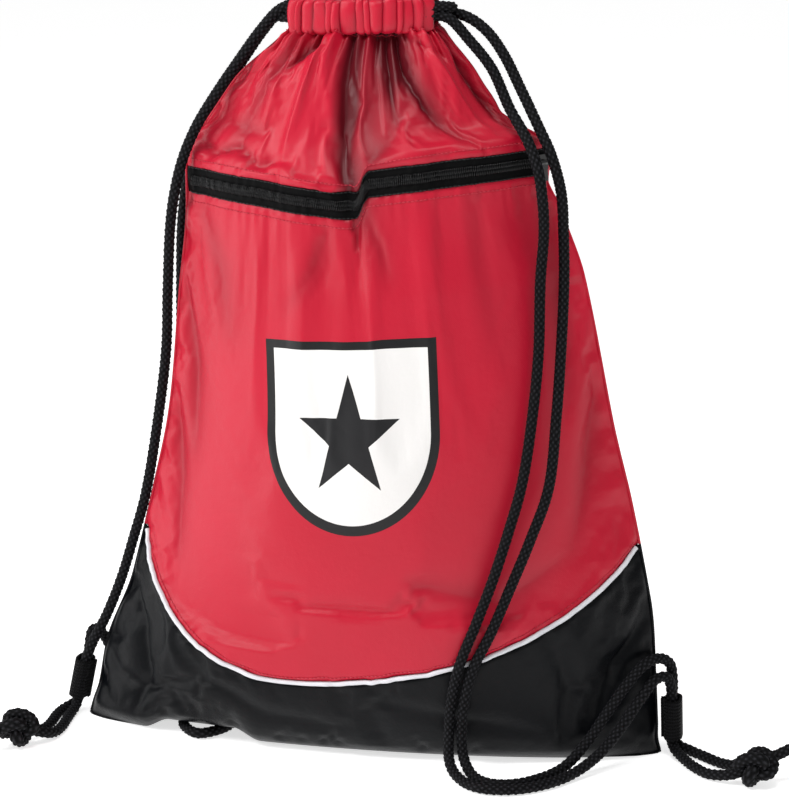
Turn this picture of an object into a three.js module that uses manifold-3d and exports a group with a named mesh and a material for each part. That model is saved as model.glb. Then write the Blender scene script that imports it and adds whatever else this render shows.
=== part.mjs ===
// A drawstring backpack standing on its base, filled, with its mouth drawn shut.
// Millimetres, +Z up. The front, with its zipped pocket, faces -Y and the wearer's back faces +Y.
// The origin is on the ground under the middle of the bag.
import * as THREE from "three";
import { mergeVertices } from "three/addons/utils/BufferGeometryUtils.js";
import Module from "manifold-3d";

// ---- Driving dimensions ----
const BODY_HEIGHT = 443; // ground to the lower edge of the drawstring channel
const BASE_WIDTH = 366; // corner to corner along the bottom seam
const BELLY_DEPTH = 140; // front to back where the bag is fullest
const BASE_DEPTH = 72; // front to back of the flat that the bag stands on
const CORD = 6.5; // diameter of the braided cord
const BASE_LIFT = CORD + 0.7; // how far the base is held up by the slack cord that lies under it
const BASE_LIFT_MIDDLE = -102; // x of the middle of the raised stretch
const BASE_LIFT_REACH = 22; // half length of the stretch at full lift
const BASE_LIFT_RUN = 18; // length over which the base comes back down to the ground
const BASE_LIFT_FADE = 60; // height over which the lift dies out
const CLOTH = 1.5; // thickness of a panel with its seam allowance
const GAP = 0.3; // clearance between pieces that touch

const CHANNEL_WALL = 1.2;
const CHANNEL_HEM = 1.8; // cloth above and below the tunnel
const TUNNEL_SPARE = 2.9; // height of the tunnel beyond its two cords
const TUNNEL_EASE = 1.1; // depth of the tunnel beyond one cord
const CHANNEL_HEIGHT = 2 * (CORD + CHANNEL_HEM) + TUNNEL_SPARE;
const CHANNEL_DEPTH = CORD + 2 * CHANNEL_WALL + TUNNEL_EASE; // through the sleeve, front to back
const CHANNEL_REACH = 0.86; // share of the mouth's arc that each sleeve covers

const SEAM_LOW = 50; // height of the curved seam at its lowest point
const SEAM_HIGH = 130; // height of the same seam at the side seams
const SEAM_DIP = -0.25; // share of the front's arc at which the curved seam is lowest
const PIPING_DIAMETER = 3;
const PIPING_SIDES = 6;
const PIPING_STEP = 9; // length of one straight step

const ZIP_LEVEL = 357; // height of the zip at the middle of the bag
const ZIP_TILT = Math.atan(0.082); // the right end of the zip stands higher
const ZIP_BAND = 17; // visible width of both tapes
const ZIP_CHAIN = 6; // width of the closed coil chain
const ZIP_TAPE = 0.8; // tape thickness
const ZIP_COIL = 1.9; // coil thickness
const ZIP_END = 0.94; // share of the front's arc that the chain covers
const ZIP_COLUMNS = 24; // straight steps along the zip
const STOP_LENGTH = 2.5;
const SLIDER_LENGTH = 9;
const SLIDER_WIDTH = 9;
const SLIDER_PLATE = 1.2;
const SLIDER_CLEARANCE = 0.6;
const PULL_LENGTH = 11;
const PULL_WIDTH = 5;
const PULL_THICKNESS = 1.2;

const POCKET_GAP = 9; // room between the pocket's front and its lining
const POCKET_FLOOR = 24; // height of the lining's lower edge
const POCKET_SIDE = 0.86; // share of the front's arc that the lining covers

const CORD_SIDES = 8;
const CORD_STEP = 1.5; // length of one straight step, in cord diameters
const CORD_BEND = 9; // how far a cord bulges out as it turns from one sleeve into the other
const CORD_CLEAR = 0.7; // room around a cord in its tunnel
const KNOT_LENGTH = 29;
const KNOT_WIDTH = 24;
const KNOT_STUB = 13; // length of cord that stands out of a knot

const TAB_HEIGHT = 25; // width of the webbing
const TAB_PLY = 1.5;
const TAB_SEWN = 2; // length of the plies sewn together at the bag
const TAB_EASE = 2; // room beside the two strands in a loop
const TAB_SPARE = 2.5; // room past one strand in a loop
const TAB_LOOP_DEPTH = 2 * CORD + TAB_EASE;
const TAB_LOOP_REACH = CORD + TAB_SPARE;
const TAB_LEAN = { left: THREE.MathUtils.degToRad(12), right: THREE.MathUtils.degToRad(2) };

// ---- Shape of the filled bag ----
// Each level: height as a share of BODY_HEIGHT, half width as a share of half BASE_WIDTH, half depth
// as a share of half BELLY_DEPTH, sideways shift in millimetres, slope of the section to the right, and
// squareness: 1 is a plain lens, and less than 1 is fuller towards the side seams.
const BASE_SHARE = BASE_DEPTH / BELLY_DEPTH;
const ZIP_ZONE = ZIP_BAND / 2 + 3;
const zipShape = [0.622, 0.7, 0, Math.tan(ZIP_TILT), 1];
const LEVELS = [
  [0, 1, BASE_SHARE, 0, 0, 0.6],
  [0.014, 0.99, 0.66, 0, 0, 0.6],
  [0.045, 0.975, 0.77, 2, 0, 0.65],
  [0.11, 0.955, 0.88, 4, 0, 0.75],
  [0.22, 0.892, 0.97, 11, 0.01, 0.9],
  [0.35, 0.82, 1, 12, 0.02, 1],
  [0.46, 0.757, 0.985, 11, 0.035, 1],
  [0.65, 0.684, 0.86, 6, 0.07, 1],
  [(ZIP_LEVEL - ZIP_ZONE) / BODY_HEIGHT, ...zipShape],
  [(ZIP_LEVEL + ZIP_ZONE) / BODY_HEIGHT, ...zipShape],
  [0.875, 0.525, 0.56, -6, 0.07, 1],
  [0.93, 0.42, 0.42, -6, 0.05, 0.8],
  [1, 0.28, 0.245, -3, 0.036, 0.55],
];
const MOUTH = 1;

// Monotone cubic interpolation of column `column` of LEVELS at height share `h`.
function shape(h, column) {
  const last = LEVELS.length - 1;
  const slope = (i) => (LEVELS[i + 1][column] - LEVELS[i][column]) / (LEVELS[i + 1][0] - LEVELS[i][0]);
  const tangent = (i) => {
    if (i === 0) return slope(0);
    if (i === last) return slope(last - 1);
    const before = slope(i - 1);
    const after = slope(i);
    return before * after <= 0 ? 0 : (2 * before * after) / (before + after);
  };
  let i = 0;
  while (i < last - 1 && h > LEVELS[i + 1][0]) i += 1;
  const span = LEVELS[i + 1][0] - LEVELS[i][0];
  const t = (h - LEVELS[i][0]) / span;
  const t2 = t * t;
  const t3 = t2 * t;
  return (
    (2 * t3 - 3 * t2 + 1) * LEVELS[i][column] +
    (t3 - 2 * t2 + t) * span * tangent(i) +
    (3 * t2 - 2 * t3) * LEVELS[i + 1][column] +
    (t3 - t2) * span * tangent(i + 1)
  );
}

// Section of the bag at height `level`: two circular arcs that meet at the side seams.
function section(level) {
  const h = Math.min(level / BODY_HEIGHT, MOUTH);
  const halfWidth = (shape(h, 1) * BASE_WIDTH) / 2;
  const halfDepth = (shape(h, 2) * BELLY_DEPTH) / 2;
  const radius = (halfWidth ** 2 + halfDepth ** 2) / (2 * halfDepth);
  return {
    halfDepth,
    radius,
    shift: shape(h, 3),
    lean: Math.atan(shape(h, 4)),
    squareness: shape(h, 5),
  };
}

function baseLift(x, level) {
  const away = Math.abs(x - BASE_LIFT_MIDDLE) - BASE_LIFT_REACH;
  const t = THREE.MathUtils.clamp(1 - away / BASE_LIFT_RUN, 0, 1);
  const fade = THREE.MathUtils.clamp(1 - level / BASE_LIFT_FADE, 0, 1);
  return BASE_LIFT * t * t * (3 - 2 * t) * fade;
}

// A point of the bag's skin. `side` is -1 for the front and 1 for the back, `across` runs from -1 at the
// left side seam to 1 at the right one, and `inset` is the depth under the outer face.
function skin(side, across, level, inset = 0) {
  const { halfDepth, radius, shift, lean, squareness } = section(level);
  const setBack = radius - halfDepth;
  const angle = across * Math.acos(Math.min(setBack / (radius - inset), 1));
  const x = (radius - inset) * Math.sin(angle) * Math.cos(lean);
  const crown = halfDepth - inset;
  const arc = Math.max((radius - inset) * Math.cos(angle) - setBack, 0);
  const y = crown * (arc / crown) ** squareness;
  const z = level + x * Math.tan(lean) + baseLift(x, level);
  return new THREE.Vector3(shift + x, side * (y + GAP / 2), z);
}

// ---- Closed solids ----
// A closed solid from grids of points: `outer` and `inner` are rows of the same length.
function sheetSolid(outer, inner, flip) {
  const rows = outer.length;
  const columns = outer[0].length;
  const positions = [];
  const put = (a, b, c) => {
    const order = flip ? [a, c, b] : [a, b, c];
    order.forEach((p) => positions.push(p.x, p.y, p.z));
  };
  const quad = (a, b, c, d) => {
    put(a, b, c);
    put(a, c, d);
  };
  for (let j = 0; j < rows - 1; j += 1) {
    for (let i = 0; i < columns - 1; i += 1) {
      quad(outer[j][i], outer[j][i + 1], outer[j + 1][i + 1], outer[j + 1][i]);
      quad(inner[j][i], inner[j + 1][i], inner[j + 1][i + 1], inner[j][i + 1]);
    }
    const end = columns - 1;
    quad(outer[j][0], outer[j + 1][0], inner[j + 1][0], inner[j][0]);
    quad(outer[j][end], inner[j][end], inner[j + 1][end], outer[j + 1][end]);
  }
  for (let i = 0; i < columns - 1; i += 1) {
    const top = rows - 1;
    quad(outer[0][i], inner[0][i], inner[0][i + 1], outer[0][i + 1]);
    quad(outer[top][i], outer[top][i + 1], inner[top][i + 1], inner[top][i]);
  }
  return asGeometry(positions);
}

// A closed pipe from stations that each hold an outer and an inner ring of points.
function pipeSolid(stations) {
  const positions = [];
  const count = stations[0].outer.length;
  const put = (...corners) => corners.forEach((p) => positions.push(p.x, p.y, p.z));
  const quad = (a, b, c, d) => {
    put(a, b, c);
    put(a, c, d);
  };
  stations.slice(1).forEach((next, k) => {
    const here = stations[k];
    for (let i = 0; i < count; i += 1) {
      const j = (i + 1) % count;
      quad(here.outer[i], here.outer[j], next.outer[j], next.outer[i]);
      quad(here.inner[i], next.inner[i], next.inner[j], here.inner[j]);
    }
  });
  const first = stations[0];
  const last = stations[stations.length - 1];
  for (let i = 0; i < count; i += 1) {
    const j = (i + 1) % count;
    quad(first.outer[i], first.inner[i], first.inner[j], first.outer[j]);
    quad(last.outer[i], last.outer[j], last.inner[j], last.inner[i]);
  }
  return asGeometry(positions);
}

function asGeometry(positions) {
  const geometry = new THREE.BufferGeometry();
  geometry.setAttribute("position", new THREE.Float32BufferAttribute(positions, 3));
  return geometry;
}

const wasm = await Module();
wasm.setup();

function asManifold(geometry) {
  const bare = geometry.clone();
  bare.deleteAttribute("normal");
  bare.deleteAttribute("uv");
  const merged = mergeVertices(bare, 1e-4);
  return new wasm.Manifold(
    new wasm.Mesh({
      numProp: 3,
      vertProperties: new Float32Array(merged.attributes.position.array),
      triVerts: new Uint32Array(merged.index.array),
    }),
  );
}

function fromManifold(solid) {
  const mesh = solid.getMesh();
  const geometry = new THREE.BufferGeometry();
  geometry.setAttribute("position", new THREE.BufferAttribute(mesh.vertProperties, 3));
  geometry.setIndex(new THREE.BufferAttribute(mesh.triVerts, 1));
  return geometry;
}

const join = (...parts) => fromManifold(parts.map(asManifold).reduce((a, b) => a.add(b)));
const cut = (body, tool) => fromManifold(asManifold(body).subtract(asManifold(tool)));

// ---- Materials ----
const surface = (color, roughness, metalness = 0) =>
  new THREE.MeshStandardMaterial({ color, roughness, metalness });
const crimsonNylon = surface(0xd22846, 0.45);
const blackSatin = surface(0x1c2026, 0.35);
const whitePiping = surface(0xe8e8ea, 0.5);
const blackTape = surface(0x141416, 0.8);
const nylonCoil = surface(0x2a2c30, 0.4);
const blackMetal = surface(0x18181a, 0.35, 0.6);
const blackWebbing = surface(0x121214, 0.85);
const blackCord = surface(0x101012, 0.85);
const greyLining = surface(0x3a3c40, 0.7);

const bag = new THREE.Group();
bag.name = "drawstring_backpack";

function piece(name, geometry, material, parent = bag) {
  const mesh = new THREE.Mesh(geometry, material);
  mesh.name = name;
  parent.add(mesh);
  return mesh;
}

// ---- Cloth panels ----
const PANEL_COLUMNS = 18;
const range = (count) => Array.from({ length: count + 1 }, (_, i) => i / count);
const acrossSteps = (reach, count = PANEL_COLUMNS) => range(count).map((t) => reach * (2 * t - 1));

// A piece of skin between two heights that vary across the bag.
function panel({ side, low, high, rows, reach = 1, from = 0, to = CLOTH, columns = PANEL_COLUMNS }) {
  const grid = (inset) =>
    range(rows).map((t) =>
      acrossSteps(reach, columns).map((across) => {
        const level = THREE.MathUtils.lerp(low(across), high(across), t);
        return skin(side, across, level, inset);
      }),
    );
  return sheetSolid(grid(from), grid(to), side > 0);
}

// The lower panel: the wall below the curved seam and the flat folded under to the bottom seam.
const FLOOR_ROWS = 3;
const WALL_ROWS = 7;
function lowerPanel(side, high) {
  const floorPoint = (across, share, inset) => {
    const edge = skin(side, across, 0, share === 1 ? inset : 0);
    const seam = (side * GAP) / 2;
    return new THREE.Vector3(edge.x, THREE.MathUtils.lerp(seam, edge.y, share), edge.z + inset);
  };
  const ends = 1 - (2 * CLOTH) / BASE_WIDTH; // the flat stops short of the corners by one thickness
  const grid = (inset) => {
    const columns = acrossSteps(1).map((a) => THREE.MathUtils.clamp(a, -ends, ends));
    const floor = range(FLOOR_ROWS).slice(0, -1);
    return [
      ...floor.map((share) => columns.map((across) => floorPoint(across, share, inset))),
      ...range(WALL_ROWS).map((t) =>
        acrossSteps(1).map((across, i) => {
          const level = t * high(across);
          const point = skin(side, t === 0 ? columns[i] : across, level, inset);
          if (t === 0) point.z += inset;
          return point;
        }),
      ),
    ];
  };
  return sheetSolid(grid(0), grid(CLOTH), side > 0);
}

const seamHeight = (across) => {
  const reach = across < SEAM_DIP ? 1 + SEAM_DIP : 1 - SEAM_DIP;
  return SEAM_LOW + (SEAM_HIGH - SEAM_LOW) * ((across - SEAM_DIP) / reach) ** 2;
};
const zipHeight = () => ZIP_LEVEL;
const offset = (line, by) => (across) => line(across) + by;
// Half the height of the opening that the piping fills, wider where the seam is steep.
const pipingRoom = (across) => {
  const reach = across < SEAM_DIP ? 1 + SEAM_DIP : 1 - SEAM_DIP;
  const rise = (2 * (SEAM_HIGH - SEAM_LOW) * (across - SEAM_DIP)) / reach ** 2;
  return (PIPING_DIAMETER / 2 + 2 * GAP) * Math.hypot(1, rise / (BASE_WIDTH / 2));
};

piece(
  "front_lower_panel",
  lowerPanel(-1, (across) => seamHeight(across) - pipingRoom(across)),
  blackSatin,
);
piece("back_lower_panel", lowerPanel(1, offset(seamHeight, -GAP / 2)), blackSatin);
piece(
  "front_pocket_panel",
  panel({
    side: -1,
    low: (across) => seamHeight(across) + pipingRoom(across),
    high: offset(zipHeight, -ZIP_BAND / 2 - GAP),
    rows: 9,
  }),
  crimsonNylon,
);
piece(
  "front_upper_panel",
  panel({ side: -1, low: offset(zipHeight, ZIP_BAND / 2 + GAP), high: () => BODY_HEIGHT, rows: 6 }),
  crimsonNylon,
);
piece(
  "back_panel",
  panel({ side: 1, low: offset(seamHeight, GAP / 2), high: () => BODY_HEIGHT, rows: 12 }),
  crimsonNylon,
);
piece(
  "pocket_lining",
  panel({
    side: -1,
    low: () => POCKET_FLOOR,
    high: offset(zipHeight, -ZIP_BAND / 2 - GAP),
    rows: 8,
    reach: POCKET_SIDE,
    from: POCKET_GAP + CLOTH,
    to: POCKET_GAP + 2 * CLOTH,
    columns: 12,
  }),
  greyLining,
);

// ---- Piping along the curved seam ----
function polygon(diameter, sides) {
  const corner = (t) => new THREE.Vector2(Math.cos(2 * Math.PI * t), Math.sin(2 * Math.PI * t));
  return range(sides).slice(0, -1).map((t) => corner(t).multiplyScalar(diameter / 2));
}

function tube(points, diameter, sides, step) {
  const route = new THREE.CatmullRomCurve3(points, false, "centripetal");
  return new THREE.ExtrudeGeometry(new THREE.Shape(polygon(diameter, sides)), {
    steps: Math.ceil(route.getLength() / step),
    extrudePath: route,
    bevelEnabled: false,
  });
}

const PIPING_ENDS = 0.985; // share of the arc that the piping covers
piece(
  "piping",
  tube(
    acrossSteps(PIPING_ENDS).map((across) => skin(-1, across, seamHeight(across), PIPING_DIAMETER / 8)),
    PIPING_DIAMETER,
    PIPING_SIDES,
    PIPING_STEP,
  ),
  whitePiping,
);

// ---- Zip ----
// The chain follows a circular arc, so the slider turns about the arc's own axis.
const zipSection = section(ZIP_LEVEL);
const zipAngle = Math.acos((zipSection.radius - zipSection.halfDepth) / zipSection.radius);
const COIL_PROUD = 0.7; // how far the coil stands out of the skin
for (const [half, sign] of [["lower", -1], ["upper", 1]]) {
  const between = (a, b) => ({
    low: offset(zipHeight, sign > 0 ? a : -b),
    high: offset(zipHeight, sign > 0 ? b : -a),
  });
  piece(
    `zip_tape_${half}`,
    panel({
      side: -1,
      ...between(ZIP_CHAIN / 2 + GAP, ZIP_BAND / 2),
      rows: 1,
      from: GAP,
      to: GAP + ZIP_TAPE,
      columns: ZIP_COLUMNS,
    }),
    blackTape,
  );
  piece(
    `zip_coil_${half}`,
    panel({
      side: -1,
      ...between(GAP / 2, ZIP_CHAIN / 2),
      rows: 1,
      reach: ZIP_END,
      from: -COIL_PROUD,
      to: ZIP_COIL - COIL_PROUD,
      columns: ZIP_COLUMNS,
    }),
    nylonCoil,
  );
}

const zipFrame = new THREE.Group();
zipFrame.position.set(zipSection.shift, zipSection.radius - zipSection.halfDepth - GAP / 2, ZIP_LEVEL);
zipFrame.rotation.y = -ZIP_TILT;
bag.add(zipFrame);

// A place on the chain, `across` as for the skin: x runs along the chain, -y out of the bag, z up.
function onChain(across) {
  const spoke = new THREE.Group();
  spoke.rotation.z = across * zipAngle;
  const seat = new THREE.Group();
  seat.position.y = -zipSection.radius;
  spoke.add(seat);
  zipFrame.add(spoke);
  return seat;
}

const STOP_PROUD = 0.4;
const stopAcross = ZIP_END + (STOP_LENGTH / 2 + GAP) / (zipSection.radius * zipAngle);
for (const [end, sign] of [["left", -1], ["right", 1]]) {
  const stop = piece(
    `zip_stop_${end}`,
    new THREE.BoxGeometry(STOP_LENGTH, ZIP_TAPE + STOP_PROUD, ZIP_CHAIN),
    blackMetal,
    onChain(sign * stopAcross),
  );
  stop.position.y = (ZIP_TAPE - STOP_PROUD) / 2 + GAP;
}

const sliderFloor = SLIDER_CLEARANCE - GAP;
const sliderRoof = COIL_PROUD + SLIDER_CLEARANCE;
const sliderTop = sliderRoof + SLIDER_PLATE;
const channelHalf = ZIP_CHAIN / 2 + SLIDER_CLEARANCE;
const sliderAcross = ZIP_END - (SLIDER_LENGTH / 2 + GAP) / (zipSection.radius * zipAngle);
const BRIDGE = 1.4; // thickness of the bar that the pull hangs on
const BAR_SIDES = 12;
const EYE = 3; // outer diameter of the pull's eye
const EYE_HOLE = 2.1;
const eyeAxis = sliderTop + GAP + EYE / 2;

// A bar along the chain, `out` from the tape.
function barAlongChain(diameter, length, out) {
  const bar = new THREE.CylinderGeometry(diameter / 2, diameter / 2, length, BAR_SIDES);
  return bar.rotateZ(Math.PI / 2).translate(0, -out, 0);
}

function sliderGeometry() {
  const outline = new THREE.Shape([
    new THREE.Vector2(-SLIDER_WIDTH / 2, sliderFloor),
    new THREE.Vector2(-channelHalf, sliderFloor),
    new THREE.Vector2(-channelHalf, sliderRoof),
    new THREE.Vector2(channelHalf, sliderRoof),
    new THREE.Vector2(channelHalf, sliderFloor),
    new THREE.Vector2(SLIDER_WIDTH / 2, sliderFloor),
    new THREE.Vector2(SLIDER_WIDTH / 2, sliderTop),
    new THREE.Vector2(-SLIDER_WIDTH / 2, sliderTop),
  ]);
  const shell = new THREE.ExtrudeGeometry(outline, { depth: SLIDER_LENGTH, bevelEnabled: false });
  shell.translate(0, 0, -SLIDER_LENGTH / 2);
  // Outline x goes up, outline y out of the bag, and the extrusion along the chain.
  const up = new THREE.Vector3(0, 0, 1);
  const out = new THREE.Vector3(0, -1, 0);
  const along = new THREE.Vector3(1, 0, 0);
  shell.applyMatrix4(new THREE.Matrix4().makeBasis(up, out, along));
  const posts = [-1, 1].map((sign) => {
    const height = eyeAxis + BRIDGE / 2 - sliderTop;
    const post = new THREE.BoxGeometry(BRIDGE, height + BRIDGE / 2, BRIDGE);
    const x = (sign * (SLIDER_LENGTH - BRIDGE)) / 2;
    return post.translate(x, -(sliderTop + (height - BRIDGE / 2) / 2), 0);
  });
  return join(shell, ...posts, barAlongChain(BRIDGE, SLIDER_LENGTH - BRIDGE, eyeAxis));
}

function pullGeometry() {
  const eye = barAlongChain(EYE, PULL_WIDTH, eyeAxis);
  const blade = new THREE.BoxGeometry(PULL_WIDTH, PULL_THICKNESS, PULL_LENGTH);
  blade.translate(0, -eyeAxis, -PULL_LENGTH / 2);
  return cut(join(eye, blade), barAlongChain(EYE_HOLE, PULL_WIDTH + 2 * GAP, eyeAxis));
}

const sliderSeat = onChain(sliderAcross);
piece("zip_slider", sliderGeometry(), blackMetal, sliderSeat);
piece("zip_pull", pullGeometry(), blackMetal, sliderSeat);

// ---- Drawstring channel ----
const channelTop = BODY_HEIGHT + CHANNEL_HEIGHT;
const RUN_STEPS = 8; // steps of a cord along one sleeve
const tunnel = { low: BODY_HEIGHT + CHANNEL_HEM, high: channelTop - CHANNEL_HEM };
const CHANNEL_STEPS = 14;

// A ring of eight points around a rectangle with cut corners, across the sleeve.
function sleeveRing(side, across, inset, depth, low, high, corner) {
  const place = (under, level) => {
    const point = skin(side, across, BODY_HEIGHT, under);
    point.z += level - BODY_HEIGHT;
    return point;
  };
  const far = inset + depth;
  return [
    place(inset + corner, low),
    place(inset, low + corner),
    place(inset, high - corner),
    place(inset + corner, high),
    place(far - corner, high),
    place(far, high - corner),
    place(far, low + corner),
    place(far - corner, low),
  ];
}

const CHANNEL_CORNER = 2.4;
const TUNNEL_CORNER = 1.6;
for (const [name, side] of [["front", -1], ["back", 1]]) {
  const stations = acrossSteps(CHANNEL_REACH, CHANNEL_STEPS).map((t) => {
    const across = side * t;
    const inner = [CHANNEL_WALL, CHANNEL_DEPTH - 2 * CHANNEL_WALL, tunnel.low, tunnel.high, TUNNEL_CORNER];
    return {
      outer: sleeveRing(side, across, 0, CHANNEL_DEPTH, BODY_HEIGHT + GAP, channelTop, CHANNEL_CORNER),
      inner: sleeveRing(side, across, ...inner),
    };
  });
  piece(`channel_${name}`, pipeSolid(stations), crimsonNylon);
}

// ---- Webbing tabs at the bottom corners ----
function tabGeometry(side) {
  const start = GAP;
  const loopStart = start + TAB_SEWN;
  const end = loopStart + TAB_LOOP_REACH + TAB_PLY;
  const wide = TAB_LOOP_DEPTH / 2 + TAB_PLY;
  const corner = 3; // rounding of the loop
  const loop = (grow, from, to) => [
    [from, -TAB_PLY],
    [from + TAB_PLY, -wide + grow],
    [to - corner, -wide + grow],
    [to, -wide + grow + corner],
    [to, wide - grow - corner],
    [to - corner, wide - grow],
    [from + TAB_PLY, wide - grow],
    [from, TAB_PLY],
  ];
  // The outline runs the same way round on both sides.
  const points = (list) => list.map(([x, y]) => new THREE.Vector2(side * x, side * y));
  const slab = (list) =>
    new THREE.ExtrudeGeometry(new THREE.Shape(points(list)), { depth: TAB_HEIGHT, bevelEnabled: false });
  const outline = [[start, -TAB_PLY], ...loop(0, loopStart - TAB_PLY, end), [start, TAB_PLY]];
  return cut(slab(outline), slab(loop(TAB_PLY, loopStart, end - TAB_PLY)));
}

const TAB_CLEAR = CORD + 3.5; // gap from the tab's lower edge to the ground
for (const [name, side] of [["left", -1], ["right", 1]]) {
  const tab = piece(`corner_tab_${name}`, tabGeometry(side), blackWebbing);
  const corner = skin(-1, side, 0);
  tab.position.set(corner.x, 0, corner.z + TAB_CLEAR);
  tab.rotation.y = -side * TAB_LEAN[name];
}

// ---- Cords ----
// Each cord runs through both sleeves and turns back at the far end of the mouth, so its two strands
// leave the mouth on one side, hang down that side of the bag, and pass through the tab at its corner.
const tunnelFloor = tunnel.low + CORD_CLEAR + CORD / 2;
const tunnelRoof = tunnel.high - CORD_CLEAR - CORD / 2;

function channelRun(exitSide, level) {
  const along = (side, sign) =>
    acrossSteps(CHANNEL_REACH, RUN_STEPS).map((t) => {
      const point = skin(side, sign * t, BODY_HEIGHT, CHANNEL_DEPTH / 2);
      point.z += level - BODY_HEIGHT;
      return point;
    });
  const out = along(-1, -exitSide);
  const back = along(1, exitSide);
  const turn = out[out.length - 1].clone().add(back[0]).multiplyScalar(0.5);
  turn.x -= exitSide * CORD_BEND;
  return tube([...out, turn, ...back], CORD, CORD_SIDES, CORD_STEP * CORD);
}

const strand = (points) =>
  tube(points.map((p) => new THREE.Vector3(...p)), CORD, CORD_SIDES, CORD_STEP * CORD);

const ROUTES = {
  right_strand_front: [
    [39, -4.4, 450.4],
    [49, -4.6, 448.6],
    [61.5, -4.4, 436],
    [75, -5.6, 420],
    [87, -11, 397],
    [99, -22, 381],
    [106.3, -28, 366],
    [109.5, -28, 348],
    [110.4, -25.5, 327],
    [109.3, -29.8, 298],
    [109.7, -36, 258],
    [107.8, -43, 222],
    [103, -51, 180],
    [96, -57.5, 151],
    [87.5, -61.5, 122],
    [77.6, -63.4, 94],
    [69, -64.4, 71],
    [63.5, -62, 48],
    [61.5, -60, 26],
    [63, -67, 9],
    [71, -80, 3.8],
    [86, -93, 3.5],
    [105, -92, 3.5],
    [124, -79, 3.6],
    [139, -59, 5],
    [152, -44, 13],
    [163, -35, 27],
    [173, -25, 42],
    [181, -15, 51.5],
    [187, -7.5, 50.5],
    [189.3, -4, 42],
    [189.4, -3.7, 32],
    [189.7, -3.7, 20],
    [190, -3.7, 9.5],
    [192.5, -7, 4.8],
    [198, -17, 3.6],
    [206, -31, 3.5],
    [217, -43, 3.6],
    [231, -49, 6.5],
  ],
  right_strand_back: [
    [39, 4.4, 450.4],
    [49, 4.6, 451],
    [60.5, 3.2, 448],
    [72, 0.6, 440],
    [82, -1.5, 427],
    [92, -5, 409],
    [105, -15, 387],
    [113.6, -22, 372],
    [119.7, -21.5, 350],
    [121, -18.5, 326],
    [122, -20.5, 296],
    [122, -29, 257],
    [121, -37.5, 219],
    [118, -46, 176],
    [109, -54.5, 147],
    [98, -58.5, 118],
    [87, -61.8, 90],
    [76, -62.8, 66],
    [71, -61.6, 46],
    [69, -59.5, 26],
    [71, -63.5, 11],
    [78, -74, 4.2],
    [89.5, -84.5, 3.5],
    [103, -84, 3.5],
    [117, -73, 3.6],
    [131, -55, 6],
    [143, -42, 18],
    [154, -34, 35],
    [164, -27, 50],
    [174, -17, 61],
    [182.5, -6, 62],
    [187.6, 0, 57],
    [189.2, 3.2, 47],
    [189.4, 3.7, 35],
    [189.7, 3.7, 20],
    [190, 3.7, 9.5],
    [193.5, 1.5, 4.8],
    [202, -5, 3.6],
    [212, -14, 3.5],
    [223, -24, 3.8],
    [235, -35, 7],
  ],
  left_strand_front: [
    [-45, -4.4, 455.6],
    [-54, -4.6, 451],
    [-65, -5, 439],
    [-78, -7, 421],
    [-92, -9.5, 400.5],
    [-104, -10.5, 381],
    [-112.5, -10.5, 362],
    [-118.5, -8.5, 342],
    [-123, -4.5, 320],
    [-126.5, -1, 278],
    [-128.5, 0, 240],
    [-135.5, 0, 190],
    [-144, 0, 145],
    [-152, 0, 118],
    [-160, -1, 92],
    [-170, -2, 67],
    [-178.5, -3.4, 50],
    [-184, -3.7, 37],
    [-187, -3.7, 24],
    [-189.6, -3.7, 11],
    [-191, -6.5, 5.4],
    [-191.5, -15, 3.6],
    [-190.5, -28, 3.5],
    [-189.5, -42, 3.5],
    [-191, -55, 4.5],
    [-195.5, -63, 7.5],
  ],
  left_strand_back: [
    [-45, 4.4, 455.6],
    [-54, 4.8, 451],
    [-65, 5, 439],
    [-78, 6, 421],
    [-92, 8, 400.5],
    [-104, 10, 381],
    [-113, 12, 362],
    [-118, 14, 340],
    [-122, 18, 315],
    [-124.5, 22.5, 278],
    [-127, 29, 238],
    [-132, 36, 190],
    [-135, 45, 140],
    [-131, 57, 100],
    [-122, 67, 60],
    [-108, 73, 22],
    [-96, 68, 5],
    [-88, 50, 3.5],
    [-85.5, 25, 3.5],
    [-85.5, -2, 3.5],
    [-89, -22, 3.5],
    [-102, -35, 3.5],
    [-115, -22, 3.5],
    [-118.5, -2, 3.5],
    [-119, 25, 3.5],
    [-124, 46, 3.5],
    [-140, 58, 3.5],
    [-158, 55, 5],
    [-171, 44, 15],
    [-179, 33, 33],
    [-182.5, 22, 48],
    [-184, 10, 51],
    [-184.6, 4.2, 41],
    [-187, 3.7, 24],
    [-189.9, 3.6, 12],
    [-193.5, 1.5, 5.6],
    [-198, -6, 3.7],
    [-199.5, -18, 3.5],
    [-198.5, -34, 3.5],
    [-199.5, -48, 3.9],
    [-203, -57.5, 7],
  ],
};

piece("right_cord_in_channel", channelRun(1, tunnelFloor), blackCord);
piece("left_cord_in_channel", channelRun(-1, tunnelRoof), blackCord);
for (const [name, points] of Object.entries(ROUTES)) piece(name, strand(points), blackCord);

const KNOTS = [
  ["right_knot", [245, -48, 12.3], 0.5, 0.35],
  ["left_knot", [-208, -71, 12.3], 3.9, 0.1],
];
for (const [name, centre, heading, rise] of KNOTS) {
  const ball = new THREE.SphereGeometry(0.5, 16, 10).scale(KNOT_LENGTH, KNOT_WIDTH, KNOT_WIDTH);
  const stub = new THREE.CylinderGeometry(CORD / 2, CORD / 2, KNOT_LENGTH / 2 + KNOT_STUB, CORD_SIDES);
  stub.rotateZ(-Math.PI / 2).translate((KNOT_LENGTH / 2 + KNOT_STUB) / 2, 0, 0);
  const knot = piece(name, join(ball, stub.rotateY(-rise)), blackCord);
  knot.position.set(...centre);
  knot.rotation.z = heading;
}

export default bag;
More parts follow.
